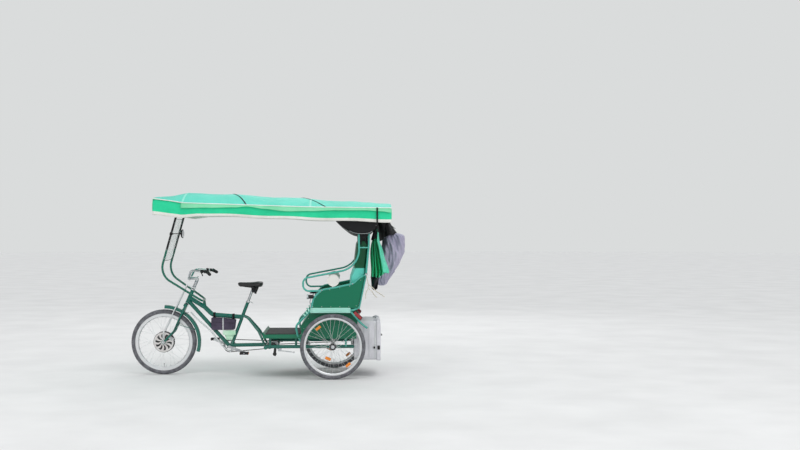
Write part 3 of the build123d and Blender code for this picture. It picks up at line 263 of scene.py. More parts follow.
def turned(name, start, direction, profile, sides=28):
    """A lathe piece along a line: the profile is (distance, radius) pairs from its start."""
    bpy.ops.object.select_all(action="DESELECT")
    bpy.ops.mesh.primitive_circle_add(vertices=sides, radius=profile[0][1], fill_type="NGON",
        location=(0, 0, profile[0][0]))
    piece = bpy.context.object
    piece.name = name
    bpy.ops.object.transform_apply()
    bpy.ops.object.mode_set(mode="EDIT")
    bpy.ops.mesh.select_all(action="SELECT")
    for (here, radius), (there, next_radius) in zip(profile, profile[1:]):
        bpy.ops.mesh.extrude_region_move(TRANSFORM_OT_translate={"value": (0, 0, there - here)})
        share = next_radius / radius
        bpy.ops.transform.resize(value=(share, share, 1), center_override=(0, 0, 0),
            constraint_axis=(True, True, False))
    bpy.ops.mesh.select_all(action="SELECT")
    bpy.ops.mesh.normals_make_consistent(inside=False)
    bpy.ops.object.mode_set(mode="OBJECT")
    aim = Vector(direction).to_track_quat("Z", "Y").to_matrix().to_4x4()
    piece.data.transform(Matrix.Translation(start) @ aim)
    bpy.ops.object.shade_smooth_by_angle(angle=math.radians(35))
    return piece


def joined(name, pieces):
    """Many small pieces as one mesh."""
    only(*pieces)
    bpy.ops.object.join()
    bpy.context.object.name = name
    return bpy.context.object


head = Vector((-0.772, 0, 0.880))
lean = math.radians(23.6)
down_axis = Vector((-math.sin(lean), 0, -math.cos(lean)))
cups = [
    turned("cup", head, down_axis, [(0.0012, 0.0195), (0.003, 0.0225), (0.009, 0.0235), (0.0138, 0.0205)]),
    turned("cup", head, down_axis, [(0.1542, 0.0205), (0.158, 0.0235), (0.164, 0.0225), (0.1672, 0.0195)]),
]
fit(joined("headset_cups", cups), "frame", chrome)
rings = [
    turned("ring", head, down_axis, [(-0.0262, 0.0178), (-0.0245, 0.0198), (-0.0165, 0.0198),
        (-0.0150, 0.0178)], 8),
    turned("ring", head, down_axis, [(-0.0148, 0.0190), (-0.0135, 0.0208), (-0.0098, 0.0208),
        (-0.0086, 0.0190)]),
]
fit(joined("headset_lock_nut", rings), "steering", chrome)


# Stem and handlebar: a forged and polished stem clamps a bent steel bar, chromed, that rises and
# sweeps back to the rider.
def rounded(points, bend, steps=5):
    """The line through some points, with its corners rounded over a length of each side."""
    points = [Vector(p) for p in points]
    line = [points[0]]
    for before, corner, after in zip(points, points[1:], points[2:]):
        a = corner + (before - corner).normalized() * min(bend, (before - corner).length / 2)
        b = corner + (after - corner).normalized() * min(bend, (after - corner).length / 2)
        for i in range(steps + 1):
            t = i / steps
            spot = a * (1 - t) ** 2 + corner * 2 * t * (1 - t) + b * t ** 2
            if (spot - line[-1]).length > 0.0004:
                line.append(spot)
    return line + [points[-1]]


def swept(name, points, radius, bend=0.05, detail=3, taper=None):
    """A round bar, tube or piping along a line with rounded corners. A taper gives its end's share
    of the radius."""
    route = rounded(points, bend)
    line = bpy.data.curves.new(name, "CURVE")
    line.dimensions = "3D"
    spline = line.splines.new("POLY")
    spline.points.add(len(route) - 1)
    for number, (point, place) in enumerate(zip(spline.points, route)):
        point.co = (*place, 1)
        point.radius = 1 if taper is None else 1 + (taper - 1) * number / (len(route) - 1)
    line.bevel_depth = radius
    line.bevel_resolution = detail
    line.use_fill_caps = True
    bar = bpy.data.objects.new(name, line)
    bpy.context.scene.collection.objects.link(bar)
    only(bar)
    bpy.ops.object.convert(target="MESH")
    bar = bpy.context.object
    smooth(bar)
    return bar


bar_route = [(-0.811, 0, 0.988), (-0.811, 0.095, 0.988), (-0.775, 0.170, 1.078), (-0.600, 0.262, 1.064),
    (-0.566, 0.330, 1.040)]
halves = []
for side in (-1, 1):
    halves.append(swept("bar", [(x, side * y, z) for x, y, z in bar_route], 0.0111, bend=0.045, detail=5))
fit(joined("handlebar_tube", halves), "steering", chrome, "handlebar")
stem_top = head - down_axis * 0.118
stem = [
    turned("stem", head, down_axis, [(-0.110, 0.0150), (-0.104, 0.0168), (-0.0275, 0.0168),
        (-0.0264, 0.0150)]),
    swept("stem", [head - down_axis * 0.090, stem_top, (-0.811, 0, 0.988)], 0.0132, bend=0.02, detail=5),
    turned("stem", (-0.811, -0.024, 0.988), (0, 1, 0),
        [(0, 0.0165), (0.003, 0.0190), (0.045, 0.0190), (0.048, 0.0165)]),
    turned("stem", stem_top + Vector((0.002, 0, 0.012)), (0, 0, 1),
        [(0, 0.0085), (0.007, 0.0085), (0.009, 0.006)], 6),
]
fit(joined("handlebar_stem", stem), "steering",
    bright_metal("polished forged aluminium", "#AEB3B8", 0.16))


# Levers, shifters and grips: moulded black plastic clamps with cast blades, and ribbed rubber grips
# pushed over the bar's ends.
def rubber(name, colour, pale, scale=260.0, strength=0.3):
    material, shader = new_material(name, Roughness=0.72)
    coords = add_node(material, "TexCoord")
    grain = add_node(material, "TexNoise", {"Vector": coords.outputs["Object"], "Scale": scale,
        "Detail": 3.0})
    dust = add_node(material, "TexNoise", {"Vector": coords.outputs["Object"], "Scale": 22.0, "Detail": 7.0,
        "Roughness": 0.62})
    wire(shader, Base_Color=add_node(material, "ValToRGB", {"Fac": dust},
        stops=[(0.4, colour), (0.8, pale)]),
        Normal=add_node(material, "Bump", {"Strength": strength, "Distance": 0.0006, "Height": grain}))
    return material


black_plastic = rubber("moulded black plastic", "#161617", "#2C2D2E", scale=900.0, strength=0.12)
grip_rubber = rubber("ribbed black rubber", "#151516", "#3A3A3B")
fittings, grips = [], []
for side in (-1, 1):
    inner, outer = Vector((-0.600, side * 0.262, 1.064)), Vector((-0.566, side * 0.330, 1.040))
    along = (outer - inner).normalized()
    profile = [(0.002, 0.0165), (0.003, 0.0185), (0.007, 0.0185), (0.008, 0.0155)]
    for rib in range(13):
        start = 0.010 + rib * 0.0052
        profile += [(start, 0.0150), (start + 0.0010, 0.0162), (start + 0.0032, 0.0162),
            (start + 0.0042, 0.0150)]
    profile += [(0.0795, 0.0158), (0.0815, 0.0150), (0.0830, 0.0110)]
    grips.append(turned("grip", inner, along, profile, 24))
    back = (Vector((-0.775, side * 0.170, 1.078)) - inner).normalized()
    fittings.append(turned("clamp", inner, back,
        [(0.010, 0.0125), (0.012, 0.0160), (0.034, 0.0160), (0.036, 0.0125)], 20))
    fittings.append(turned("shifter", inner + back * 0.050, back,
        [(0, 0.0125), (0.002, 0.0175), (0.024, 0.0175), (0.026, 0.0125)], 20))
    hinge = inner + back * 0.028 + Vector((-0.018, 0, 0.004))
    fittings.append(turned("pivot", hinge + Vector((0, 0, -0.010)), (0, 0, 1),
        [(0, 0.010), (0.002, 0.012), (0.018, 0.012), (0.020, 0.010)], 16))
    fittings.append(swept("blade", [hinge, (-0.672, side * 0.250, 1.072), (-0.652, side * 0.290, 1.052),
        (-0.640, side * 0.320, 1.030)], 0.0062, bend=0.03, taper=0.75))
    fittings.append(turned("knob", Vector((-0.640, side * 0.320, 1.030)), (0.2, side, -0.7),
        [(-0.005, 0.0045), (0, 0.0068), (0.005, 0.0045)], 14))
fit(joined("brake_levers", fittings), "steering", black_plastic)
fit(joined("handlebar_grips", grips), "steering", grip_rubber, "grips")


# Bicycle tyres: black rubber moulded over a woven casing, with rows of low tread blocks round the
# crown, fine rings pressed into the side walls and a pale reflective band beside the rim.
def tyre_rubber(name, centre, band):
    """Dusty black rubber with fine rings and a pale reflective band next to the rim."""
    material, shader = new_material(name, Roughness=0.82)
    coords = add_node(material, "TexCoord")
    middle = add_node(material, "Mapping", {"Vector": coords.outputs["Object"],
        "Location": [-c for c in centre]})
    split = add_node(material, "SeparateXYZ", {"Vector": middle})
    flat = add_node(material, "CombineXYZ", {"X": split.outputs["X"], "Z": split.outputs["Z"]})
    radius = add_node(material, "VectorMath", {0: flat}, operation="LENGTH")
    # side wall rings 3 mm apart, coarser than on a real tyre so that they show
    rings = add_node(material, "Math", {0: radius, 1: 2094.0}, operation="MULTIPLY")
    wave = add_node(material, "Math", {0: rings}, operation="SINE")
    dust = add_node(material, "TexNoise", {"Vector": coords.outputs["Object"], "Scale": 30.0, "Detail": 8.0,
        "Roughness": 0.65})
    grain = add_node(material, "TexNoise", {"Vector": coords.outputs["Object"], "Scale": 700.0})
    height = add_node(material, "Math", {0: wave, 1: 0.35, 2: grain}, operation="MULTIPLY_ADD")
    wall = add_node(material, "ValToRGB", {"Fac": dust}, stops=[(0.38, "#57575C"), (0.8, "#8E8F95")])
    inside = add_node(material, "MapRange", {"Value": radius, "From Min": band + 0.001,
        "From Max": band - 0.001})
    tone = add_node(material, "ValToRGB", {"Fac": dust}, stops=[(0.3, "#EDEEEF"), (0.9, "#C9CACB")])
    mixed = add_node(material, "Mix", {"Factor": inside, 6: wall, 7: tone}, data_type="RGBA")
    wire(shader, Base_Color=mixed, Normal=add_node(material, "Bump",
        {"Strength": 0.35, "Distance": 0.0006, "Height": height}))
    return material


tread_depth = 0.0016
tread_blocks = 216
front_hub = (-1.070, 0.0, 0.335)
rear_left_hub, rear_right_hub = (0.671, -0.5, 0.327), (0.671, 0.5, 0.327)
for name, body, centre, width, band in (
    ("front_tyre", "front_wheel", front_hub, 0.054, 0.293),
    ("rear_left_tyre", "rear_wheel_left", rear_left_hub, 0.044, 0.289),
    ("rear_right_tyre", "rear_wheel_right", rear_right_hub, 0.044, 0.289),
):
    section = width / 2 - tread_depth
    bpy.ops.object.select_all(action="DESELECT")
    bpy.ops.mesh.primitive_circle_add(vertices=22, radius=section,
        location=(centre[0] + centre[2] - width / 2, centre[1], centre[2]))
    tyre = bpy.context.object
    tyre.name = name + "_moulded"
    bpy.ops.object.mode_set(mode="EDIT")
    bpy.ops.mesh.select_all(action="SELECT")
    bpy.ops.mesh.spin(steps=tread_blocks, angle=math.tau, center=centre, axis=(0, 1, 0))
    bpy.ops.mesh.select_all(action="SELECT")
    bpy.ops.mesh.remove_doubles(threshold=0.0001)
    bpy.ops.mesh.normals_make_consistent(inside=False)
    bpy.ops.mesh.select_all(action="DESELECT")
    bpy.ops.object.mode_set(mode="OBJECT")
    bpy.ops.object.transform_apply()
    for face in tyre.data.polygons:
        away = math.hypot(face.center.x - centre[0], face.center.z - centre[2])
        across = abs(face.center.y - centre[1])
        turn = math.atan2(face.center.z - centre[2], face.center.x - centre[0])
        step = round(turn / math.tau * tread_blocks - 0.5)
        # blocks along the middle, with every third one left out towards the shoulders
        face.select = away > centre[2] - 0.3 * width and (across < 0.2 * width or step % 3 != 0)
    bpy.ops.object.mode_set(mode="EDIT")
    bpy.ops.mesh.select_mode(type="FACE")
    bpy.ops.mesh.inset(thickness=0.0013, depth=tread_depth, use_individual=True)
    bpy.ops.mesh.select_mode(type="VERT")
    bpy.ops.object.mode_set(mode="OBJECT")
    bpy.ops.object.shade_smooth_by_angle(angle=math.radians(30))
    fit(tyre, body, tyre_rubber(name + " rubber", centre, band), name)


# Spoke nipples and valves: turned brass, plated, pushed through each rim's inner wall. One nipple
# is made and copied to every spoke's end, and each rim has a valve.
def placed(place, angle=0.0, axis="Z"):
    """The matrix that turns a piece about an axis and then moves it to a place."""
    return Matrix.Translation(place) @ Matrix.Rotation(angle, 4, axis)


def copied(model, place):
    """A copy of a piece with its own mesh, moved by a matrix."""
    copy = model.copy()
    copy.data = model.data.copy()
    bpy.context.scene.collection.objects.link(copy)
    copy.data.transform(place)
    return copy


plated = bright_metal("plated brass", "#B9BABA", 0.2)
nipple = turned("nipple", (0, 0, 0), (0, 0, 1),
    [(-0.0095, 0.0016), (-0.004, 0.0021), (0.005, 0.0024), (0.0065, 0.0018)], 8)
for name, body, centre, hole_radius, flange_y, lace, rim_radius in (
    ("front", "front_wheel", front_hub, 0.102, 0.022, 20, 0.257),
    ("rear_left", "rear_wheel_left", rear_left_hub, 0.029, 0.034, 60, 0.268),
    ("rear_right", "rear_wheel_right", rear_right_hub, 0.029, 0.034, 60, 0.268),
):
    pieces = []
    for side in (-1, 1):
        for lean in (-1, 1):
            # nine spokes on each side lean each way, 40 degrees apart
            for turn in range(9):
                hole = math.radians(5 * side + 10 * lean + 40 * turn)
                rim = hole + math.radians(lean * lace)
                start = Vector((hole_radius * math.cos(hole), side * flange_y,
                    hole_radius * math.sin(hole)))
                end = Vector((rim_radius * math.cos(rim), side * 0.004, rim_radius * math.sin(rim)))
                along = (end - start).normalized()
                place = along.to_track_quat("Z", "Y").to_matrix().to_4x4()
                place.translation = Vector(centre) + end - along * 0.005
                pieces.append(copied(nipple, place))
    # the valve stands between two spokes at the bottom
    foot = Vector(centre) - Vector((0, 0, rim_radius + 0.003))
    pieces.append(turned("valve", foot, (0, 0, 1),
        [(0, 0.0034), (0.022, 0.0034), (0.023, 0.0042), (0.038, 0.0042), (0.041, 0.0022)], 12))
    fit(joined(name + "_nipples", pieces), body, plated)
bpy.data.objects.remove(nipple)


# Hub fittings: ribbed aluminium covers on the motor with a ring of cap screws on each side, six rotor
# bolts, and a turned end cap outside each rear hub.
screw = turned("screw", (0, 0, 0), (0, -1, 0),
    [(0, 0.0042), (0.003, 0.0042), (0.0038, 0.0034), (0.0030, 0.0022), (0.0022, 0.0020)], 12)
pieces = []
# left cover, rotor and right cover: count, place across, distance from the axle, turn of the heads
for count, y, away, facing in ((12, -0.0300, 0.0800, 0), (6, -0.0412, 0.0220, 0),
        (12, 0.0300, 0.0800, math.pi)):
    for turn in range(count):
        a = math.tau * (turn + 0.5) / count
        spot = (front_hub[0] + away * math.cos(a), y, front_hub[2] + away * math.sin(a))
        pieces.append(copied(screw, placed(spot, facing)))
bpy.data.objects.remove(screw)
fit(joined("motor_screws", pieces), "front_wheel", machined)
ribs = []
for side in (-1, 1):
    for away in (0.036, 0.046, 0.056, 0.066):
        profile = [(0, away - 0.0020), (0.0016, away - 0.0014), (0.0016, away + 0.0014), (0, away + 0.0020)]
        ribs.append(turned("rib", (front_hub[0], side * 0.0298, front_hub[2]), (0, side, 0), profile, 48))
fit(joined("motor_cover_ribs", ribs), "front_wheel", nodes["hub_motor"].data.materials[0])
for name, body, (x, y, z) in (
    ("rear_left", "rear_wheel_left", rear_left_hub),
    ("rear_right", "rear_wheel_right", rear_right_hub),
):
    outward = math.copysign(1, y)
    cap = turned(name + "_hub_cap", (x, y + outward * 0.0515, z), (0, outward, 0),
        [(0, 0.0185), (0.003, 0.0178), (0.0045, 0.0150)], 24)
    fit(cap, body, chrome)


# Wheel reflectors: amber moulded plastic with a backing plate, clipped between two spokes. Three
# stand at different radii in each rear wheel.
amber, shader = new_material("amber moulded reflector", Roughness=0.12, Coat_Weight=0.8,
    Coat_Roughness=0.05)
coords = add_node(amber, "TexCoord")
cells = add_node(amber, "TexVoronoi", {"Vector": coords.outputs["Object"], "Scale": 420.0})
wire(shader, Base_Color=add_node(amber, "ValToRGB", {"Fac": cells},
    stops=[(0.1, "#FFA21A"), (0.9, "#E06A00")]),
    Normal=add_node(amber, "Bump", {"Strength": 0.6, "Distance": 0.0008, "Height": cells}))


def block(name, size, bevel, place=(0, 0, 0)):
    """A box with rounded edges about a place."""
    bpy.ops.object.select_all(action="DESELECT")
    bpy.ops.mesh.primitive_cube_add(size=1, location=(0, 0, 0))
    piece = bpy.context.object
    piece.name = name
    piece.scale = size
    bpy.ops.object.transform_apply()
    bpy.ops.object.mode_set(mode="EDIT")
    bpy.ops.mesh.select_all(action="SELECT")
    bpy.ops.mesh.bevel(offset=bevel, segments=2, affect="EDGES")
    bpy.ops.object.mode_set(mode="OBJECT")
    bpy.ops.object.shade_smooth_by_angle(angle=math.radians(40))
    piece.data.transform(Matrix.Translation(place))
    return piece


for name, body, hub in (("left", "rear_wheel_left", rear_left_hub),
        ("right", "rear_wheel_right", rear_right_hub)):
    model = block("reflector", (0.058, 0.009, 0.026), 0.003)
    spots = []
    for x, z in ((-0.145, 0.185), (-0.048, -0.119), (0.152, -0.182)):
        turn = math.pi / 2 - math.atan2(z, x)
        reach = math.hypot(x, z)
        lean = 0.034 * (1 - reach / 0.268)
        for side in (-1, 1):
            spot = (hub[0] + x, hub[1] + side * (lean + 0.004), hub[2] + z)
            spots.append(copied(model, placed(spot, turn, "Y")))
    bpy.data.objects.remove(model)
    fit(joined(f"spoke_reflectors_{name}", spots), body, amber)


# Chainring, sprockets and chains: steel teeth in a ring round each packed disc, and roller chain of
# half inch pitch. One link is made and copied along each loop; inner and outer plates alternate.
pitch = 0.0127
# places of the shafts along the machine and in height
crank_at, jack_at, rear_axle_at = (-0.399, 0.288), (0.070, 0.300), (rear_right_hub[0], rear_right_hub[2])
inner_chain_y, outer_chain_y = 0.048, 0.425
plate_radius, plate_thickness = 0.0041, 0.0009


def toothed(name, centre, y, count, body):
    """A ring of teeth whose pitch circle is that of the chain."""
    pitch_radius = count * pitch / math.tau
    bpy.ops.object.select_all(action="DESELECT")
    bpy.ops.mesh.primitive_circle_add(vertices=count * 4, radius=pitch_radius - 0.0068,
        location=(0, 0, -0.0009))
    ring = bpy.context.object
    bpy.ops.object.transform_apply()
    bpy.ops.object.mode_set(mode="EDIT")
    bpy.ops.mesh.select_all(action="SELECT")
    bpy.ops.mesh.extrude_region_move(TRANSFORM_OT_translate={"value": (0, 0, 0)})
    share = (pitch_radius - 0.0040) / (pitch_radius - 0.0068)
    bpy.ops.transform.resize(value=(share, share, 1), center_override=(0, 0, 0))
    bpy.ops.object.mode_set(mode="OBJECT")
    for point in ring.data.vertices:
        away = math.hypot(point.co.x, point.co.y)
        step = round(math.atan2(point.co.y, point.co.x) / math.tau * count * 4) % 4
        if away > pitch_radius - 0.005 and step == 0:
            point.co.xy = point.co.xy * (pitch_radius + 0.0042) / away
    only(ring)
    bpy.ops.object.mode_set(mode="EDIT")
    bpy.ops.mesh.select_all(action="SELECT")
    bpy.ops.mesh.extrude_region_move(TRANSFORM_OT_translate={"value": (0, 0, 0.0018)})
    bpy.ops.mesh.select_all(action="SELECT")
    bpy.ops.mesh.normals_make_consistent(inside=False)
    bpy.ops.object.mode_set(mode="OBJECT")
    ring.data.transform(placed((centre[0], y, centre[1]), math.pi / 2, "X"))
    ring.name = name
    return fit(ring, body, machined)


toothed("chainring_teeth", crank_at, inner_chain_y, 32, "crank")
toothed("jack_front_teeth", jack_at, inner_chain_y, 18, "jack")
toothed("jack_rear_teeth", jack_at, outer_chain_y, 18, "jack")
toothed("hub_teeth", rear_axle_at, outer_chain_y, 20, "rear_wheel_right")


def belt(one, radius_one, two, radius_two):
    """Points round two circles and along the straight runs between them, spaced at the pitch."""
    across = Vector(two) - Vector(one)
    toward = math.atan2(across.y, across.x)
    open_angle = math.acos((radius_one - radius_two) / across.length)
    line = []
    for step in range(61):
        a = toward + open_angle + (math.tau - 2 * open_angle) * step / 60
        line.append(Vector(one) + radius_one * Vector((math.cos(a), math.sin(a))))
    for step in range(61):
        a = toward - open_angle + 2 * open_angle * step / 60
        line.append(Vector(two) + radius_two * Vector((math.cos(a), math.sin(a))))
    line.append(line[0])
    whole = sum((b - a).length for a, b in zip(line, line[1:]))
    count = 2 * round(whole / pitch / 2)
    spots, walked, number = [], 0.0, 0
    for a, b in zip(line, line[1:]):
        length = (b - a).length
        while number < count and number * whole / count < walked + length:
            spots.append(a + (b - a) * ((number * whole / count - walked) / length))
            number += 1
        walked += length
    return spots


def link_plates(name, y):
    """Two figure-of-eight plates, one pitch long, either side of the middle."""
    plates = []
    for side in (-1, 1):
        bpy.ops.object.select_all(action="DESELECT")
        bpy.ops.mesh.primitive_cylinder_add(vertices=12, radius=plate_radius, depth=plate_thickness,
            location=(0, side * y, 0), rotation=(math.pi / 2, 0, 0))
        plate = bpy.context.object
        bpy.ops.object.transform_apply()
        for point in plate.data.vertices:
            if point.co.x > 0.0005:
                point.co.x += pitch
        plates.append(plate)
    return joined(name, plates)


roller = turned("roller", (0, -0.0045, 0), (0, 1, 0),
    [(0, 0.0018), (0.002, 0.0018), (0.0022, 0.0037), (0.0068, 0.0037), (0.007, 0.0018),
    (0.009, 0.0018)], 10)
inner_plates, outer_plates = link_plates("inner", 0.0019), link_plates("outer", 0.0030)
links = []
for (one, radius_one, two, radius_two), y in (
    ((crank_at, 0.0647, jack_at, 0.0364), inner_chain_y),
    ((jack_at, 0.0364, rear_axle_at, 0.0404), outer_chain_y),
):
    spots = belt(one, radius_one, two, radius_two)
    for number, (spot, after) in enumerate(zip(spots, spots[1:] + spots[:1])):
        along = after - spot
        place = placed((spot.x, y, spot.y), -math.atan2(along.y, along.x), "Y")
        links.append(copied(roller, place))
        links.append(copied(inner_plates if number % 2 else outer_plates, place))
for model in (roller, inner_plates, outer_plates):
    bpy.data.objects.remove(model)
chain_steel = enamel("oiled chain steel", "#4A4743", dusty="#2B2724", roughness=0.34, chips="#A8A29A",
    chip_share=0.6)
fit(joined("roller_chains", links), "frame", chain_steel, "drive_chains")


# Crank bolts and pedals: each pedal is a moulded cage round a turned barrel, with a toothed tread on
# both sides and amber reflectors front and back.
pieces = []
for side in (-1, 1):
    pieces.append(turned("crank_bolt", (crank_at[0], side * 0.0722, crank_at[1]), (0, side, 0),
        [(0, 0.0105), (0.002, 0.0115), (0.004, 0.0105), (0.0045, 0.006), (0.003, 0.004)], 24))
fit(joined("crank_bolts", pieces), "crank", chrome)
cage_resin = rubber("black moulded pedal resin", "#1A1A1B", "#3B3B3C", scale=500.0, strength=0.2)
for name, body, side, x, z in (("pedal_left", "left_pedal", -1, -0.2389, 0.2252),
        ("pedal_right", "right_pedal", 1, -0.5591, 0.3508)):
    parts = [turned("barrel", (0, side * 0.076, 0), (0, side, 0),
        [(0, 0.0105), (0.004, 0.0125), (0.082, 0.0125), (0.088, 0.0095), (0.090, 0.0074)], 20)]
    for end in (0.080, 0.160):
        parts.append(block("end", (0.084, 0.007, 0.022), 0.003, (0, side * end, 0)))
    lights = []
    for front in (-1, 1):
        parts.append(block("tread", (0.011, 0.086, 0.024), 0.002, (front * 0.0385, side * 0.120, 0)))
        for tooth in range(9):
            for up in (-1, 1):
                spot = (front * 0.0385, side * (0.084 + tooth * 0.009), up * 0.0115)
                parts.append(turned("tooth", spot, (0, 0, up), [(0, 0.003), (0.0022, 0.0016)], 6))
        lights.append(block("light", (0.004, 0.052, 0.013), 0.0015, (front * 0.0450, side * 0.120, 0)))
    cage, lamps = joined(name + "_cage", parts), joined(name + "_reflectors", lights)
    for piece in (cage, lamps):
        piece.data.transform(Matrix.Translation((x, 0, z)))
    fit(cage, body, cage_resin, name)
    fit(lamps, body, amber)


# Cable conduit and brake hose: a bright braided tube that runs from the headset under the down tube
# to the crank bracket, and a thin black hose down the left fork leg. Clips hold the conduit.
conduit_route = [(-0.792, -0.036, 0.640), (-0.740, -0.044, 0.584), (-0.653, -0.046, 0.508),
    (-0.576, -0.044, 0.437), (-0.502, -0.040, 0.335), (-0.443, -0.042, 0.262), (-0.381, -0.048, 0.235)]
braid = bright_metal("braided steel conduit", "#E4E6E8", 0.38)
fit(swept("cable_conduit", conduit_route, 0.0072, bend=0.03), "frame", braid)
hose_route = [(-0.815, -0.030, 0.640), (-0.870, -0.066, 0.618), (-0.935, -0.0735, 0.500),
    (-0.972, -0.0735, 0.428), (-0.988, -0.062, 0.392)]
fit(swept("brake_hose", hose_route, 0.0026, bend=0.02, detail=2), "steering", black_plastic)
clips = []
for (x, y, z), along in (((-0.700, -0.040, 0.548), (-0.66, 0, -0.75)),
        ((-0.540, -0.038, 0.388), (-0.6, 0, -0.8)), ((-0.470, -0.038, 0.296), (-0.5, 0, -0.86))):
    clips.append(turned("clip", Vector((x, y, z)) - Vector(along) * 0.005, along,
        [(0, 0.0074), (0.001, 0.0098), (0.009, 0.0098), (0.010, 0.0074)], 16))
fit(joined("conduit_clips", clips), "frame", black_plastic)


# Saddle: a moulded shell under foam and a stitched black cover, on two steel rails. A clamp holds the
# rails to the post, and a black strap dangles from the rear rail.
saddle_cover, shader = new_material("stitched black saddle vinyl", Roughness=0.42, Coat_Weight=0.25,
    Coat_Roughness=0.3)
coords = add_node(saddle_cover, "TexCoord")
grain = add_node(saddle_cover, "TexVoronoi", {"Vector": coords.outputs["Object"], "Scale": 700.0})
wear = add_node(saddle_cover, "TexNoise", {"Vector": coords.outputs["Object"], "Scale": 18.0,
    "Detail": 7.0})
wire(shader, Base_Color=add_node(saddle_cover, "ValToRGB", {"Fac": wear},
    stops=[(0.35, "#141314"), (0.8, "#2E2A2C")]),
    Normal=add_node(saddle_cover, "Bump", {"Strength": 0.18, "Distance": 0.0005, "Height": grain}))


def surface(name, columns, rows, place, thickness=0.0):
    """A sheet whose points follow a rule, place(u, v), with u and v from 0 to 1."""
    bpy.ops.object.select_all(action="DESELECT")
    bpy.ops.mesh.primitive_grid_add(x_subdivisions=columns, y_subdivisions=rows, size=1)
    sheet = bpy.context.object
    sheet.name = name
    for point in sheet.data.vertices:
        point.co = place(point.co.x + 0.5, point.co.y + 0.5)
    bpy.ops.object.mode_set(mode="EDIT")
    bpy.ops.mesh.select_all(action="SELECT")
    bpy.ops.mesh.remove_doubles(threshold=0.00001)
    bpy.ops.mesh.normals_make_consistent(inside=False)
    bpy.ops.object.mode_set(mode="OBJECT")
    if thickness:
        wall = sheet.modifiers.new("thickness", "SOLIDIFY")
        wall.thickness = thickness
        wall.offset = 0
        bpy.ops.object.modifier_apply(modifier="thickness")
    smooth(sheet)
    return sheet


def between(rows, value):
    """The row of figures at a value, by straight lines between a table's rows."""
    for one, two in zip(rows, rows[1:]):
        if value <= two[0] or two is rows[-1]:
            share = max(0.0, min(1.0, (value - one[0]) / (two[0] - one[0])))
            return [a + share * (b - a) for a, b in zip(one[1:], two[1:])]


# along the saddle: place, half width, top, skirt depth
saddle_rows = (
    (-0.312, 0.006, 0.938, 0.014), (-0.306, 0.015, 0.944, 0.034), (-0.290, 0.020, 0.948, 0.046),
    (-0.240, 0.023, 0.948, 0.050), (-0.190, 0.031, 0.948, 0.052), (-0.150, 0.050, 0.950, 0.056),
    (-0.120, 0.072, 0.954, 0.060), (-0.095, 0.086, 0.956, 0.060), (-0.075, 0.088, 0.955, 0.056),
    (-0.062, 0.074, 0.950, 0.044), (-0.057, 0.040, 0.942, 0.022),
)


saddle_nose, saddle_length = saddle_rows[0][0], 0.255


def saddle_point(u, v):
    """A ring of the cushion and its skirt (u) at a place from nose to tail (v)."""
    x = saddle_nose + saddle_length * v
    half, top, depth = between(saddle_rows, x)
    turn = math.tau * u
    across, up = math.cos(turn), math.sin(turn)
    y = half * math.copysign(abs(across) ** 0.75, across)
    groove = 0.004 * math.exp(-((y / 0.010) ** 2)) * max(0.0, math.sin(math.pi * v))
    if up > 0:
        return (x, y, top - depth * 0.42 + depth * 0.42 * up ** 0.6 - groove)
    return (x, y * (1 + 0.18 * up), top - depth * 0.42 - depth * 0.58 * abs(up) ** 0.7)


fit(surface("saddle_shell", 64, 60, saddle_point), "frame", saddle_cover, "saddle")
seams = []
for u, inward in ((0.06, 0.0006), (0.44, -0.0006)):
    lift = Vector((0, inward, 0.0004))
    line = [Vector(saddle_point(u, step / 30)) + lift for step in range(2, 29)]
    seams.append(swept("seam", line, 0.0011, bend=0.003, detail=1))
fit(joined("saddle_seams", seams), "frame",
    rubber("waxed black thread", "#3A3639", "#5A5458", scale=1500.0))
rails = []
for side in (-1, 1):
    rails.append(swept("rail", [(-0.292, side * 0.008, 0.922), (-0.252, side * 0.018, 0.902),
        (-0.180, side * 0.022, 0.8935), (-0.130, side * 0.022, 0.8935), (-0.085, side * 0.036, 0.922)],
        0.0036, bend=0.02))
post_foot = Vector((-0.209, 0, 0.750))
post_up = Vector((0.169, 0, 0.450)).normalized()
post_top = post_foot + post_up * 0.150
for side in (-1, 1):
    rails.append(turned("clamp", (post_top.x, side * 0.012, 0.8935), (0, side, 0),
        [(0, 0.014), (0.004, 0.0165), (0.016, 0.0165), (0.019, 0.012), (0.023, 0.0075), (0.027, 0.0075),
        (0.028, 0.005)], 20))
fit(joined("saddle_rails", rails), "frame", black_enamel)


def saddle_strap_point(u, v):
    x = -0.128 + 0.022 * u - 0.012 * v + 0.004 * math.sin(5 * v)
    return (x, -0.030 - 0.006 * math.sin(3 * v), 0.915 - 0.082 * v - 0.006 * u)


tail = surface("saddle_strap", 3, 16, saddle_strap_point, 0.0016)
fit(tail, "frame", rubber("black woven strap", "#131314", "#242425",
    scale=1200.0, strength=0.4))


# Clamp on the seat tube: a forged and chromed split collar. A quick release skewer and its curved
# lever close it round the post.
collar = post_foot - post_up * 0.012
clamp = [turned("collar", collar, post_up, [(0, 0.0178), (0.001, 0.0205), (0.013, 0.0205),
    (0.0145, 0.0178)], 32)]
clamp.append(turned("skewer", collar + Vector((0.012, -0.024, 0.010)), (0, 1, 0),
    [(0, 0.004), (0.001, 0.0062), (0.006, 0.0062), (0.007, 0.003), (0.041, 0.003), (0.042, 0.0062),
    (0.047, 0.0062), (0.048, 0.004)], 16))
clamp.append(swept("lever", [collar + Vector((0.012, -0.023, 0.010)),
    collar + Vector((0.036, -0.027, 0.004)), collar + Vector((0.058, -0.024, -0.008))], 0.0036, bend=0.01))
fit(joined("seat_clamp", clamp), "frame", chrome)


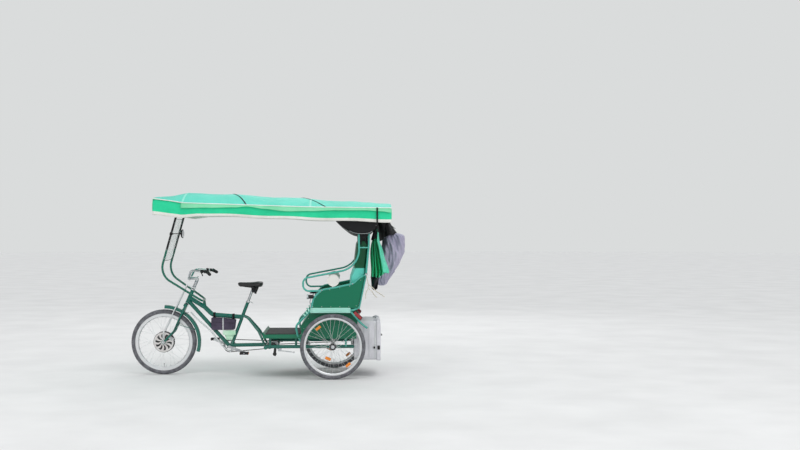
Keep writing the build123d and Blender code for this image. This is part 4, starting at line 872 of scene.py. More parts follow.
# Battery bag: padded dark nylon under the main tube, with a zip, a silver strap round its middle and
# two loops over the tube. A small mint pouch with a flap hangs in the frame's corner.
def cloth(name, colour, shade, roughness=0.6):
    """Woven nylon or canvas; the threads run along the object's own axes."""
    material, shader = new_material(name, Sheen_Weight=0.06, Sheen_Roughness=0.4, Specular_IOR_Level=0.3)
    coords = add_node(material, "TexCoord")
    cloud = add_node(material, "TexNoise", {"Vector": coords.outputs["Object"], "Scale": 9.0, "Detail": 8.0,
        "Roughness": 0.6})
    warp = add_node(material, "TexWave", {"Vector": coords.outputs["Object"], "Scale": 130.0},
        bands_direction="X").outputs["Fac"]
    weft = add_node(material, "TexWave", {"Vector": coords.outputs["Object"], "Scale": 130.0},
        bands_direction="Z").outputs["Fac"]
    weave = add_node(material, "Math", {0: warp, 1: weft}, operation="MULTIPLY")
    fold = add_node(material, "TexNoise", {"Vector": coords.outputs["Object"], "Scale": 26.0, "Detail": 6.0,
        "Distortion": 1.3})
    height = add_node(material, "Math", {0: weave, 1: 0.15, 2: fold}, operation="MULTIPLY_ADD")
    gloss = add_node(material, "MapRange", {"Value": fold, "To Min": roughness - 0.1,
        "To Max": roughness + 0.15})
    wire(shader, Base_Color=add_node(material, "ValToRGB", {"Fac": cloud},
        stops=[(0.3, shade), (0.65, colour)]), Roughness=gloss,
        Normal=add_node(material, "Bump", {"Strength": 0.3, "Distance": 0.004, "Height": height}))
    return material


def puffed(name, outline, half, puff, cuts=14):
    """A stuffed bag: a box between two outlines' four corners (x, z), swelled in the middle of each
    side and creased a little, then rounded at its edges."""
    bpy.ops.object.select_all(action="DESELECT")
    bpy.ops.mesh.primitive_cube_add(size=2, location=(0, 0, 0))
    bag = bpy.context.object
    bag.name = name
    bpy.ops.object.mode_set(mode="EDIT")
    bpy.ops.mesh.select_all(action="SELECT")
    bpy.ops.mesh.bevel(offset=0.16, segments=3, affect="EDGES")
    bpy.ops.mesh.subdivide(number_cuts=cuts)
    bpy.ops.object.mode_set(mode="OBJECT")
    low_front, low_rear, high_front, high_rear = [Vector(p) for p in outline]
    for point in bag.data.vertices:
        a, b, c = point.co
        low = low_front + (low_rear - low_front) * (a + 1) / 2
        high = high_front + (high_rear - high_front) * (a + 1) / 2
        spot = low + (high - low) * (c + 1) / 2
        swell = (1 - a * a) * (1 - c * c)
        fold = 0.0016 * math.sin(34 * spot.x / 0.1 + 6 * c) * math.sin(4 * c + 2 * a)
        fold = fold * (1 - a * a) ** 0.5 * (1 - c * c) ** 0.5
        point.co = (spot.x + puff * 0.4 * a * (1 - c * c) * (1 - b * b),
            b * (half + (puff * swell + fold) * abs(b) ** 2),
            spot.y + puff * 0.35 * c * (1 - a * a) * (1 - b * b))
    smooth(bag)
    return bag


dark_nylon = cloth("dark plum nylon", "#5A5066", "#3A3343")
bag = puffed("battery_case", ((-0.583, 0.458), (-0.346, 0.458), (-0.585, 0.587),
    (-0.332, 0.566)), 0.044, 0.007)
fit(bag, "frame", dark_nylon, "battery_bag")


def hoop(name, route, width, thickness):
    """A flat strap laid round a closed route; its width is a vector."""
    line = [Vector(p) for p in route]

    def place(u, v):
        spot = u * len(line)
        number = min(int(spot), len(line) - 1)
        here, after = line[number], line[(number + 1) % len(line)]
        return here + (after - here) * (spot - number) + width * (v - 0.5)
    return surface(name, 6 * len(line), 2, place, thickness)


# round the bag, across the machine and in height
round_the_bag = [(-0.0525, 0.466), (-0.0540, 0.510), (-0.0520, 0.566), (-0.040, 0.584), (0.040, 0.584),
    (0.0520, 0.566), (0.0540, 0.510), (0.0525, 0.466), (0.040, 0.4545), (-0.040, 0.4545)]
strap = hoop("battery_strap", [(-0.462, y, z) for y, z in round_the_bag], Vector((0.016, 0, 0)), 0.0018)
fit(strap, "frame", cloth("silver grey webbing", "#D3D4D8", "#A8AAB0"))
loop_radius = 0.0262
loops = []
for x, z in ((-0.555, 0.612), (-0.360, 0.5965)):
    ring = []
    for step in range(14):
        across, up = math.cos(math.tau * step / 14), math.sin(math.tau * step / 14)
        # the loop's foot hangs a little lower, where it meets the bag
        ring.append((x, loop_radius * across, z + loop_radius * up - 0.004 * (up < -0.6)))
    loops.append(hoop("loop", ring, Vector((0.024, 0, 0.002)), 0.0022))
loops = fit(joined("battery_loops", loops), "frame",
    cloth("black hook tape", "#151517", "#0D0D0E"))
zip_line = [(-0.580, -0.0462, 0.541), (-0.500, -0.0500, 0.538), (-0.400, -0.0495, 0.531),
    (-0.340, -0.0452, 0.527)]
fit(swept("battery_zip", zip_line, 0.0021, bend=0.02, detail=1), "frame",
    cloth("black zip tape", "#3B3740", "#1D1A20"))

mint_canvas = cloth("mint canvas", "#DDFFE6", "#BDF5CC", roughness=0.7)
pouch = puffed("mint_pouch", ((-0.428, 0.354), (-0.370, 0.354), (-0.462, 0.448), (-0.338, 0.448)), 0.031,
    0.008, cuts=10)
fit(pouch, "frame", mint_canvas, "frame_pouch")


def pouch_flap_point(u, v):
    bulge = math.sin(math.pi * u)
    return (-0.466 + 0.132 * u, -0.040 - 0.004 * bulge - 0.0016 * v, 0.452 - 0.042 * v - 0.010 * v * bulge)


flap = surface("pouch_flap", 26, 14, pouch_flap_point, 0.0016)
fit(flap, "frame", cloth("pale mint canvas", "#DDFBE4", "#BDF1CB", roughness=0.7))


# Saddle pouch: a small padded bag of black nylon. It is strapped round the post under the saddle's
# rear rails.
saddle_pouch = puffed("saddle_pouch", ((-0.166, 0.842), (-0.122, 0.842), (-0.178, 0.902), (-0.098, 0.902)),
    0.030, 0.006, cuts=8)
fit(saddle_pouch, "frame", cloth("black pouch nylon", "#1A181D", "#0E0D10"))


# Passenger body panels: pressed steel sheets in green powder coat, dusty towards the foot. They are
# riveted to the body's tube frame and to the seat box.
panel_enamel = enamel("green powder coat", "#007353", chips="#9FD8C0", roughness=0.34, coat_weight=0.1)
dress("side_panel_left side_panel_right back_panel floor_pan seat_box", panel_enamel)


# Board under the cushions: birch plywood, sanded and stained black. The layers show at its front
# edge, and it lies loose on the seat rails.
plywood, shader = new_material("stained plywood", Roughness=0.6)
coords = add_node(plywood, "TexCoord")
layers = add_node(plywood, "TexWave", {"Vector": coords.outputs["Object"], "Scale": 160.0,
    "Distortion": 0.6}, bands_direction="Z").outputs["Fac"]
grain = add_node(plywood, "TexNoise", {"Vector": coords.outputs["Object"], "Scale": 60.0, "Detail": 8.0,
    "Distortion": 2.0})
wire(shader, Base_Color=add_node(plywood, "ValToRGB", {"Fac": grain},
    stops=[(0.35, "#1E1913"), (0.75, "#453626")]),
    Normal=add_node(plywood, "Bump", {"Strength": 0.3, "Distance": 0.0005, "Height": layers}))
dress("seat_board", plywood)


# Covers of the seat rails: pressed aluminium channels in pale mint, clipped over both seat rails,
# with two rolled grooves along the outer face and a cap at each end.
mint_enamel = enamel("pale mint powder coat", "#A9E8D6", dusty="#A9B5AE", chips="#5E8C7C", chip_share=0.75)
covers = []
for side in (-1, 1):
    # a channel's section, across and up, from the lower lip over the outer face to the upper lip
    section = [(0.4560, 0.6605), (0.4735, 0.6605), (0.4745, 0.6620), (0.4745, 0.6730), (0.4733, 0.6745),
        (0.4745, 0.6760), (0.4745, 0.6930), (0.4733, 0.6945), (0.4745, 0.6960), (0.4745, 0.7085),
        (0.4730, 0.7100), (0.4560, 0.7100)]

    def channel_point(u, v):
        spot = v * (len(section) - 1)
        number = min(int(spot), len(section) - 2)
        (y1, z1), (y2, z2) = section[number], section[number + 1]
        rest = spot - number
        return (0.447 + 0.398 * u, side * (y1 + (y2 - y1) * rest), z1 + (z2 - z1) * rest)
    covers.append(surface("cover", 8, 22, channel_point, 0.0012))
    for x in (0.4475, 0.8445):
        covers.append(block("cap", (0.004, 0.028, 0.050), 0.0015, (x, side * 0.4610, 0.6852)))
fit(joined("seat_rail_covers", covers), "frame", mint_enamel)


# Ring clamps: pale painted cast rings that join the front tubes to the rails, each with a bolt, and
# a bright knob where the arm loop ends.
rings = []
for side in (-1, 1):
    for place, along in (((0.430, side * 0.4570, 0.6880), (0.9, 0, 0.2)),
            ((0.412, side * 0.4545, 0.6630), (0.75, 0, 0.65)),
            ((0.390, side * 0.4510, 0.6380), (0.60, side * 0.05, 0.80))):
        rings.append(turned("ring", Vector(place) - Vector(along).normalized() * 0.008, along,
            [(0, 0.0122), (0.0015, 0.0172), (0.0145, 0.0172), (0.016, 0.0122)], 24))
        rings.append(turned("bolt", Vector(place) + Vector((0, side * 0.012, 0)), (0, side, 0),
            [(0, 0.0062), (0.004, 0.0062), (0.0050, 0.0050)], 6))
fit(joined("ring_clamps", rings), "frame", mint_enamel)
knobs = []
for side in (-1, 1):
    knobs.append(turned("knob", (1.004, side * 0.4500, 1.044), (0, side, 0),
        [(0, 0.006), (0.006, 0.006), (0.008, 0.0125), (0.014, 0.0135), (0.019, 0.0105),
        (0.021, 0.005)], 20))
    for x, y, z in ((0.868, 0.4715, 0.950), (0.560, 0.4700, 0.886)):
        knobs.append(turned("bolt", (x, side * y, z), (0, side, 0),
            [(0, 0.0065), (0.003, 0.0065), (0.0045, 0.0045)], 6))
fit(joined("body_knobs", knobs), "frame", chrome)


# Panel rivets: domed aluminium heads along each side panel's edge, round the seat box and down the
# rear face of the back panel. One is turned and copied.
rivet = turned("rivet", (0, 0, 0), (0, -1, 0), [(0, 0.0040), (0.0010, 0.0034), (0.0018, 0.0016)], 10)
heads = []
# along the machine and in height: edges of a side panel, of the seat box and of the back panel
panel_edge = [(0.470, 0.722), (0.560, 0.722), (0.650, 0.722), (0.740, 0.722), (0.830, 0.722),
    (0.905, 0.730), (0.498, 0.818), (0.548, 0.868), (0.640, 0.893), (0.740, 0.909), (0.838, 0.929),
    (0.948, 0.985)]
box_edge = [(0.405, 0.430), (0.500, 0.415), (0.620, 0.415), (0.740, 0.415), (0.870, 0.415), (0.380, 0.500),
    (0.425, 0.600)]
back_edge = [(0.931, 0.745), (0.954, 0.850), (0.978, 0.955), (0.9995, 1.070), (1.0095, 1.180),
    (1.0185, 1.280), (1.0265, 1.360)]
for side, facing in ((-1, 0), (1, math.pi)):
    heads += [copied(rivet, placed((x, side * 0.4652, z), facing)) for x, z in panel_edge]
    heads += [copied(rivet, placed((x, side * 0.4052, z), facing)) for x, z in box_edge]
for side in (-1, 1):
    spots = [(x, side * 0.412, z) for x, z in back_edge]
    for y in (0.30, 0.18, 0.06):
        spots += [(0.931, side * y, 0.745), (1.0265, side * y, 1.360)]
    heads += [copied(rivet, placed(spot, math.pi / 2)) for spot in spots]
bpy.data.objects.remove(rivet)
fit(joined("panel_rivets", heads), "frame", machined)


# Floor mat: black rubber, moulded with raised ribs across the machine. It is cut to size and lies on
# the floor pan.
mat_rubber = rubber("ribbed black floor rubber", "#1D1D1E", "#4A4847", scale=320.0)


mat_front, mat_length, mat_width, mat_height = -0.006, 0.348, 0.760, 0.4426
mat_ribs, rib_height = 29, 0.0022


def mat_point(u, v):
    raised = 0.30 < (u * mat_ribs) % 1 < 0.72 and 0.02 < v < 0.98
    height = mat_height + (rib_height if raised else 0.0)
    return (mat_front + mat_length * u, -mat_width / 2 + mat_width * v, height)


mat = surface("ribbed_mat", 290, 24, mat_point, 0.0034)
fit(mat, "frame", mat_rubber, "floor_mat")


# Side discs: plain white enamelled steel plates with a raised rim and a shallow dish. Each is fixed
# to a tab on the body's frame.
white_enamel = enamel("white vitreous enamel", "#E9E8E3", dusty="#B8B6AC", chips="#7A7C78", chip_share=0.78,
    roughness=0.16)
dress("side_discs", white_enamel)
plates = []
for side in (-1, 1):
    plates.append(turned("plate", (0.675, side * 0.4655, 0.985), (0, side, 0),
        [(0, 0.0600), (0.0022, 0.0604), (0.0034, 0.0592), (0.0034, 0.0560), (0.0012, 0.0530),
        (0.0008, 0.0300), (0.0014, 0.0100), (0.0016, 0.0020)], 72))
fit(joined("enamel_discs", plates), "frame", white_enamel)


# Front lamps: black turned bodies with a chromed bezel and a clear ribbed lens, each on a bracket
# from the rail. The tail reflectors are red moulded plates of small prisms in black frames.
clear_lens, shader = new_material("ribbed clear lens", Roughness=0.06, Coat_Weight=1.0,
    Transmission_Weight=0.35)
coords = add_node(clear_lens, "TexCoord")
flutes = add_node(clear_lens, "TexWave", {"Vector": coords.outputs["Object"], "Scale": 90.0},
    bands_direction="Y").outputs["Fac"]
wire(shader, Base_Color=add_node(clear_lens, "ValToRGB", {"Fac": flutes},
    stops=[(0.2, "#E8ECEE"), (0.8, "#F4F6F6")]),
    Normal=add_node(clear_lens, "Bump", {"Strength": 0.5, "Distance": 0.001, "Height": flutes}))
bodies, bezels, lenses = [], [], []
for side in (-1, 1):
    spot, forward = Vector((0.482, side * 0.462, 0.822)), (-1, 0, 0)
    bodies.append(turned("body", spot, forward,
        [(0, 0.0105), (0.004, 0.0165), (0.016, 0.0190), (0.052, 0.0200), (0.058, 0.0205)], 32))
    bezels.append(turned("bezel", spot, forward,
        [(0.054, 0.0208), (0.056, 0.0228), (0.068, 0.0228), (0.0705, 0.0212), (0.0700, 0.0190)], 32))
    lenses.append(turned("lens", spot, forward,
        [(0.0665, 0.0190), (0.0700, 0.0150), (0.0718, 0.0080), (0.0722, 0.0015)], 32))
    bezels.append(swept("bracket", [(0.452, side * 0.462, 0.803), (0.440, side * 0.463, 0.770),
        (0.452, side * 0.464, 0.716)], 0.0052, bend=0.02))
fit(joined("lamp_bodies", bodies), "frame", black_plastic, "front_lamps")
fit(joined("lamp_bezels", bezels), "frame", chrome)
fit(joined("lamp_lenses", lenses), "frame", clear_lens)
ruby, shader = new_material("red prism reflector", Roughness=0.12, Coat_Weight=0.8, Coat_Roughness=0.05)
coords = add_node(ruby, "TexCoord")
prisms = add_node(ruby, "TexVoronoi", {"Vector": coords.outputs["Object"], "Scale": 320.0})
wire(shader, Base_Color=add_node(ruby, "ValToRGB", {"Fac": prisms},
    stops=[(0.1, "#C4121C"), (0.9, "#7C060C")]),
    Normal=add_node(ruby, "Bump", {"Strength": 0.7, "Distance": 0.001, "Height": prisms}))
dress("tail_reflectors", ruby)
frames = []
for side in (-1, 1):
    outline = [(0.870, 0.652), (0.948, 0.584), (0.966, 0.612), (0.896, 0.680)]
    frames.append(swept("frame", [(x, side * 0.4565, z) for x, z in outline + outline[:2]], 0.0030,
        bend=0.006, detail=2))
fit(joined("reflector_frames", frames), "frame", black_plastic)


# Cushions of the seat and its back: foam blocks in dark green vinyl, teal at the back's foot, with
# stitched channels and piped edges. Cloth simulation swells each cover; both stand on the board.
channel_depth, channel_width, most_swell = 0.009, 0.0075, 0.012


def vinyl(name, colour, shade, split_at=None):
    """Leathercloth: fine grain, soft gloss and creases. Another colour may show below a height."""
    material, shader = new_material(name, Coat_Weight=0.12, Coat_Roughness=0.25, Specular_IOR_Level=0.3)
    coords = add_node(material, "TexCoord")
    grain = add_node(material, "TexVoronoi", {"Vector": coords.outputs["Object"], "Scale": 620.0})
    crease = add_node(material, "TexNoise", {"Vector": coords.outputs["Object"], "Scale": 14.0,
        "Detail": 7.0, "Distortion": 1.4})
    cloud = add_node(material, "TexNoise", {"Vector": coords.outputs["Object"], "Scale": 5.0,
        "Detail": 6.0})
    colours = add_node(material, "ValToRGB", {"Fac": cloud}, stops=[(0.3, shade), (0.7, colour)])
    if split_at:
        level, low_shade, low_colour = split_at
        height = add_node(material, "SeparateXYZ", {"Vector": coords.outputs["Object"]}).outputs["Z"]
        over = add_node(material, "MapRange", {"Value": height, "From Min": level - 0.003,
            "From Max": level + 0.003})
        low = add_node(material, "ValToRGB", {"Fac": cloud}, stops=[(0.3, low_shade), (0.7, low_colour)])
        colours = add_node(material, "Mix", {"Factor": over, 6: low, 7: colours}, data_type="RGBA")
    fine = add_node(material, "Math", {0: grain, 1: 0.12, 2: crease}, operation="MULTIPLY_ADD")
    gloss = add_node(material, "MapRange", {"Value": crease, "To Min": 0.28, "To Max": 0.5})
    wire(shader, Base_Color=colours, Roughness=gloss,
        Normal=add_node(material, "Bump", {"Strength": 0.25, "Distance": 0.003, "Height": fine}))
    return material


def cushion(name, packed, material, face, channels):
    """A foam cushion from its packed block. Its face axis and sign say where the stitched channels
    lie; each is a plane across the cushion, (axis, place)."""
    piece = copied(nodes[packed], nodes[packed].matrix_world)
    piece.name = name
    piece.parent = None
    piece.matrix_world = Matrix.Identity(4)
    piece.modifiers.clear()
    for key in list(piece.keys()):
        del piece[key]
    middle = sum((Vector(c) for c in piece.bound_box), Vector()) / 8
    smaller = Matrix.Diagonal((0.955, 0.992, 0.955, 1))
    piece.data.transform(Matrix.Translation(middle) @ smaller @ Matrix.Translation(-middle))
    only(piece)
    mesh = piece.modifiers.new("remesh", "REMESH")
    mesh.mode = "VOXEL"
    mesh.voxel_size = 0.0085
    bpy.ops.object.modifier_apply(modifier="remesh")
    evened = piece.modifiers.new("smooth", "SMOOTH")
    evened.iterations = 4
    bpy.ops.object.modifier_apply(modifier="smooth")
    foam = [point.co.copy() for point in piece.data.vertices]
    swell = piece.modifiers.new("swell", "CLOTH")
    for key, value in (
        ("quality", 5), ("tension_stiffness", 12), ("compression_stiffness", 12),
        ("bending_stiffness", 1.5), ("use_pressure", True), ("uniform_pressure_force", 4.0),
    ):
        setattr(swell.settings, key, value)
    swell.settings.effector_weights.gravity = 0.0
    swell.collision_settings.use_collision = False
    scene = bpy.context.scene
    for number in range(1, 21):
        scene.frame_set(number)
    bpy.ops.object.modifier_apply(modifier="swell")
    scene.frame_set(1)
    for point, start in zip(piece.data.vertices, foam):
        move = point.co - start
        if move.length > most_swell:
            point.co = start + move * (most_swell / move.length)
    axis, sign = face
    for point in piece.data.vertices:
        sunk = 0.0
        for across, place in channels:
            away = abs(point.co[across] - place)
            sunk = max(sunk, math.exp(-((away / channel_width) ** 2)))
        normal = point.normal[axis] * sign
        if normal > 0.1:
            point.co[axis] -= sign * channel_depth * sunk * min(1.0, normal)
    finer = piece.modifiers.new("finer", "SUBSURF")
    finer.levels = finer.render_levels = 1
    bpy.ops.object.modifier_apply(modifier="finer")
    smooth(piece)
    fit(piece, "frame", material, packed)
    return piece


seat_vinyl = vinyl("dark green vinyl", "#05704A", "#035236")
back_vinyl = vinyl("dark green and teal vinyl", "#04623C", "#02482B",
    split_at=(1.105, "#45C8B4", "#76E4D4"))
cushion("seat_pad", "seat_cushion", seat_vinyl, (2, 1),
    [(1, y) for y in (-0.298, -0.149, 0.0, 0.149, 0.298)] + [(0, 0.560)])
cushion("back_pad", "back_cushion", back_vinyl, (0, -1),
    [(1, y) for y in (-0.283, -0.142, 0.0, 0.142, 0.283)] + [(2, 1.105)])
piping_vinyl = vinyl("black vinyl piping", "#1A1C1B", "#0E100F")
lines = []
# the edge seen from above, at the cushion's foot and top
edge = [(0.880, -0.4400), (0.512, -0.4400), (0.4985, -0.4280), (0.4985, 0.4280), (0.512, 0.4400),
    (0.880, 0.4400)]
for z in (0.7420, 0.8300):
    lines.append(swept("piping", [(x, y, z) for x, y in edge], 0.0035, bend=0.03, detail=2))
fit(joined("seat_piping", lines), "frame", piping_vinyl)


# Rear luggage box: moulded grey plastic with pressed ribs, an aluminium angle round its open back,
# and a lid that swings up on two pin hinges. It has a bent handle, a lock and two toggle latches.
grey_mould, shader = new_material("moulded pale grey plastic", Roughness=0.45, Coat_Weight=0.15,
    Coat_Roughness=0.35)
coords = add_node(grey_mould, "TexCoord")
stain = add_node(grey_mould, "TexNoise", {"Vector": coords.outputs["Object"], "Scale": 7.0, "Detail": 9.0,
    "Roughness": 0.62})
pebble = add_node(grey_mould, "TexVoronoi", {"Vector": coords.outputs["Object"], "Scale": 380.0})
wire(shader, Base_Color=add_node(grey_mould, "ValToRGB", {"Fac": stain},
    stops=[(0.3, "#CDCDD3"), (0.7, "#E2E2E7")]),
    Normal=add_node(grey_mould, "Bump", {"Strength": 0.16, "Distance": 0.0008, "Height": pebble}))
dress("rear_box box_lid", grey_mould)

ribs = []
for side in (-1, 1):
    for x in (0.930, 0.985, 1.040):
        ribs.append(block("rib", (0.016, 0.007, 0.330), 0.003, (x, side * 0.3318, 0.370)))
for y in (-0.20, -0.10, 0.0, 0.10, 0.20):
    ribs.append(block("rib", (0.007, 0.016, 0.330), 0.003, (0.8825, y, 0.370)))
fit(joined("box_ribs", ribs), "frame", grey_mould)
beads = []
for width, height, y, z in ((0.560, 0.010, 0.0, 0.245), (0.560, 0.010, 0.0, 0.495),
        (0.010, 0.250, -0.280, 0.370), (0.010, 0.250, 0.280, 0.370)):
    beads.append(block("bead", (0.006, width, height), 0.0025, (1.1520, y, z)))
fit(joined("lid_beads", beads), "lid", grey_mould)

angle_metal = bright_metal("brushed aluminium angle", "#D6D9DC", 0.32)
angles = []
for side in (-1, 1):
    angles.append(block("angle", (0.020, 0.0024, 0.360), 0.0009, (1.0985, side * 0.3316, 0.370)))
    for z in (0.200, 0.540):
        angles.append(block("corner", (0.034, 0.003, 0.034), 0.0012, (0.904, side * 0.3316, z)))
fit(joined("box_angles", angles), "frame", angle_metal)
latches, keepers = [], []
for side in (-1, 1):
    latches.append(block("latch", (0.026, 0.006, 0.040), 0.002, (1.132, side * 0.3420, 0.300)))
    latches.append(block("lever", (0.016, 0.006, 0.030), 0.002, (1.134, side * 0.3470, 0.302)))
    keepers.append(block("keeper", (0.018, 0.008, 0.022), 0.002, (1.088, side * 0.3370, 0.300)))
latches.append(swept("handle", [(1.150, -0.070, 0.400), (1.172, -0.060, 0.400), (1.172, 0.060, 0.400),
    (1.150, 0.070, 0.400)], 0.0045, bend=0.012))
for y in (-0.070, 0.070):
    latches.append(turned("foot", (1.1505, y, 0.400), (1, 0, 0),
        [(0, 0.012), (0.002, 0.012), (0.004, 0.009), (0.006, 0.005)], 18))
latches.append(turned("lock", (1.1505, 0, 0.300), (1, 0, 0),
    [(0, 0.0135), (0.003, 0.0135), (0.005, 0.0115), (0.0055, 0.005), (0.0040, 0.003)], 24))
fit(joined("lid_latches", latches), "lid", black_plastic)
fit(joined("box_keepers", keepers), "frame", black_plastic)


# Windscreen: clear soft vinyl film laced between the two masts; it is creased from rolling up and
# bound along all its edges, and painted glints show along the creases as whiter, less clear film. Small
# steel eyelets hold the ties to the masts.
film, shader = new_material("creased clear vinyl film with painted glints", Roughness=0.12, IOR=1.45)
coords = add_node(film, "TexCoord")
creases_and_glints = add_node(film, "TexNoise", {"Vector": coords.outputs["Object"], "Scale": 8.0, "Detail": 3.0,
    "Roughness": 0.5, "Distortion": 1.6})
haze_and_glints = add_node(film, "MapRange", {"Value": creases_and_glints, "From Min": 0.48, "From Max": 0.68, "To Min": 0.14,
    "To Max": 0.5})
# the creases' crests are painted glints: the colour turns near white and the film more opaque there
wire(shader, Base_Color=add_node(film, "ValToRGB", {"Fac": creases_and_glints},
    stops=[(0.45, "#7FA69C"), (0.62, "#F4F8F8")]), Alpha=haze_and_glints,
    Normal=add_node(film, "Bump", {"Strength": 0.6, "Distance": 0.006, "Height": creases_and_glints}))


def mast_x(z):
    """The place of the leaning masts at a height."""
    return -1.072 + 0.217 * (z - 1.036) / 0.7805


film_width, film_foot, film_height = 0.556, 1.176, 0.423


def film_point(u, v):
    y, z = -film_width / 2 + film_width * u, film_foot + film_height * v
    inside = math.sin(math.pi * u) ** 0.5 * math.sin(math.pi * v) ** 0.35
    x = mast_x(z) + 0.010 * inside * math.sin(9 * y + 13 * z) * math.sin(31 * z - 6 * y)
    x += 0.006 * inside * abs(math.sin(24 * z + 14 * y)) - 0.003 * inside * math.sin(70 * z + 20 * y)
    return (x, y, z)


screen = fit(surface("windscreen_film", 70, 80, film_point, 0.0006), "frame",
    film, "windscreen")
eyelets = []
outline = [film_point(u, v) for u, v in ((0, 0), (0, 0.25), (0, 0.5), (0, 0.75), (0, 1), (0.5, 1), (1, 1),
    (1, 0.75), (1, 0.5), (1, 0.25), (1, 0), (0.5, 0), (0, 0))]
fit(swept("film_binding", outline, 0.0026, bend=0.01, detail=1), "frame",
    cloth("black edge binding", "#1B1B1D", "#0E0E0F"))
for side in (-1, 1):
    for z in (1.200, 1.290, 1.380, 1.470, 1.560):
        eyelets.append(turned("eyelet", (mast_x(z) - 0.0018, side * 0.268, z), (-1, 0, 0.28),
            [(-0.001, 0.0075), (0.001, 0.0085), (0.0025, 0.0070), (0.0015, 0.0040)], 16))
        turns = [math.tau * i / 12 for i in range(13)]
        ring = [(mast_x(z) + 0.0135 * math.cos(a), side * 0.290 + 0.0135 * math.sin(a), z) for a in turns]
        eyelets.append(swept("tie", ring, 0.0016, bend=0.002, detail=1))
fit(joined("film_eyelets", eyelets), "frame", chrome)


# Mirror: an oval shell of moulded black plastic with silvered glass. It stands on a bent rod with a
# ball joint, from a clamp on the mast.
oval = Matrix.Translation((-0.842, -0.320, 1.450)) @ Matrix.Diagonal((1, 1.545, 1, 1))
shell = turned("shell", (0, 0, 0), (1, 0, 0), [(-0.014, 0.006), (-0.0125, 0.022), (-0.009, 0.034),
    (-0.003, 0.042), (0.006, 0.044), (0.009, 0.0425), (0.0075, 0.0395)], 48)
shell.data.transform(oval)
arm = [shell]
arm.append(swept("arm", [(mast_x(1.450) + 0.012, -0.290, 1.450), (-0.895, -0.290, 1.450),
    (-0.868, -0.300, 1.450), (-0.852, -0.312, 1.450)], 0.0042, bend=0.02))
arm.append(turned("clamp", (mast_x(1.450) - 0.0036, -0.290, 1.437), (0.268, 0, 0.963),
    [(0, 0.0125), (0.001, 0.0160), (0.025, 0.0160), (0.026, 0.0125)], 24))
arm.append(turned("ball", (-0.862, -0.306, 1.450), (1, -0.3, 0),
    [(-0.008, 0.004), (-0.005, 0.0075), (0.002, 0.009), (0.008, 0.007)], 20))
fit(joined("mirror_shell", arm), "frame", black_plastic, "mirror_left")
glass = turned("mirror_glass", (0, 0, 0), (1, 0, 0),
    [(0.0072, 0.0385), (0.0080, 0.0390), (0.0086, 0.0375), (0.0090, 0.0200), (0.0091, 0.0020)], 48)
glass.data.transform(oval)
fit(glass, "frame", bright_metal("silvered glass", "#DDE3E6", 0.03))


# Canopy top: one sheet of pale coated polyester pulled over seven steel bows. It sags a little
# between the bows, and a welded seam and a white piped edge hold it on both sides.
def coated_cloth(name, colour, shade, threads, roughness=0.5, sheen=0.1, bump_strength=0.25):
    """Woven polyester under a thin coat: threads are counts across and along the piece's own map."""
    material, shader = new_material(name, Sheen_Weight=sheen, Sheen_Roughness=0.4, Specular_IOR_Level=0.3)
    coords = add_node(material, "TexCoord")
    cloud = add_node(material, "TexNoise", {"Vector": coords.outputs["Object"], "Scale": 3.2, "Detail": 8.0,
        "Roughness": 0.6})
    split = add_node(material, "SeparateXYZ", {"Vector": coords.outputs["UV"]})
    across = add_node(material, "Math", {0: split.outputs["X"], 1: math.tau * threads[0]},
        operation="MULTIPLY")
    along = add_node(material, "Math", {0: split.outputs["Y"], 1: math.tau * threads[1]},
        operation="MULTIPLY")
    warp = add_node(material, "Math", {0: across}, operation="SINE")
    weft = add_node(material, "Math", {0: along}, operation="SINE")
    weave = add_node(material, "Math", {0: warp, 1: weft}, operation="MULTIPLY")
    crease = add_node(material, "TexNoise", {"Vector": coords.outputs["Object"], "Scale": 16.0,
        "Detail": 6.0, "Distortion": 1.2})
    height = add_node(material, "Math", {0: weave, 1: 0.12, 2: crease}, operation="MULTIPLY_ADD")
    gloss = add_node(material, "MapRange", {"Value": crease, "To Min": roughness - 0.08,
        "To Max": roughness + 0.15})
    wire(shader, Base_Color=add_node(material, "ValToRGB", {"Fac": cloud},
        stops=[(0.3, shade), (0.62, colour)]), Roughness=gloss,
        Normal=add_node(material, "Bump", {"Strength": bump_strength, "Distance": 0.003, "Height": height}))
    return material


roof_front, roof_rear, roof_half = -1.112, 1.257, 0.520
bow_places = (-1.098, -0.855, -0.300, 0.330, 0.925, 1.040, 1.243)
# along the roof: place, height of the side edge, rise of the arch, height of the valance's hem
roof_stations = (
    (-1.112, 1.798, 0.026, 1.646), (-0.940, 1.777, 0.068, 1.620), (-0.818, 1.756, 0.112, 1.611),
    (-0.670, 1.751, 0.121, 1.632), (-0.296, 1.739, 0.114, 1.622), (0.445, 1.715, 0.097, 1.590),
    (1.257, 1.706, 0.052, 1.568),
)


def roof_at(x):
    """Side edge height, rise and hem height at a place along the roof."""
    return between(roof_stations, x)


def roof_height(x, y):
    side, rise, _ = roof_at(x)
    bend = (roof_half ** 2 + rise ** 2) / (2 * rise)
    height = side + rise - bend + math.sqrt(max(bend ** 2 - y ** 2, 0))
    for one, two in zip(bow_places, bow_places[1:]):
        if one < x < two:
            slack = min(0.011, 0.02 * (two - one)) * (1 - (y / roof_half) ** 2 * 0.6)
            height -= slack * math.sin(math.pi * (x - one) / (two - one)) ** 2
    pulls = math.sin(31 * x + 9 * y) * math.sin(17 * y - 5 * x)
    return height + 0.0012 * pulls * (1 - (y / roof_half) ** 2)


def roof_point(u, v):
    x, y = roof_front + u * (roof_rear - roof_front), roof_half * (2 * v - 1)
    return (x, y, roof_height(x, y))


canopy_top = surface("canopy_top_sheet", 190, 56, roof_point, 0.0012)
fit(canopy_top, "frame", coated_cloth("pale coated polyester", "#5CDCC6", "#48CDB6",
    (790, 350)), "canopy_top")


def roof_strip(name, crown_x, edge_x, width, lift):
    """A narrow strip across the roof; it leans when its crown and edge places differ."""
    def place(u, v):
        y = roof_half * (2 * v - 1)
        x = crown_x + (edge_x - crown_x) * abs(y) / roof_half + width * (u - 0.5)
        return (x, y, roof_height(x, y) + lift)
    return surface(name, 3, 60, place, 0.0012)


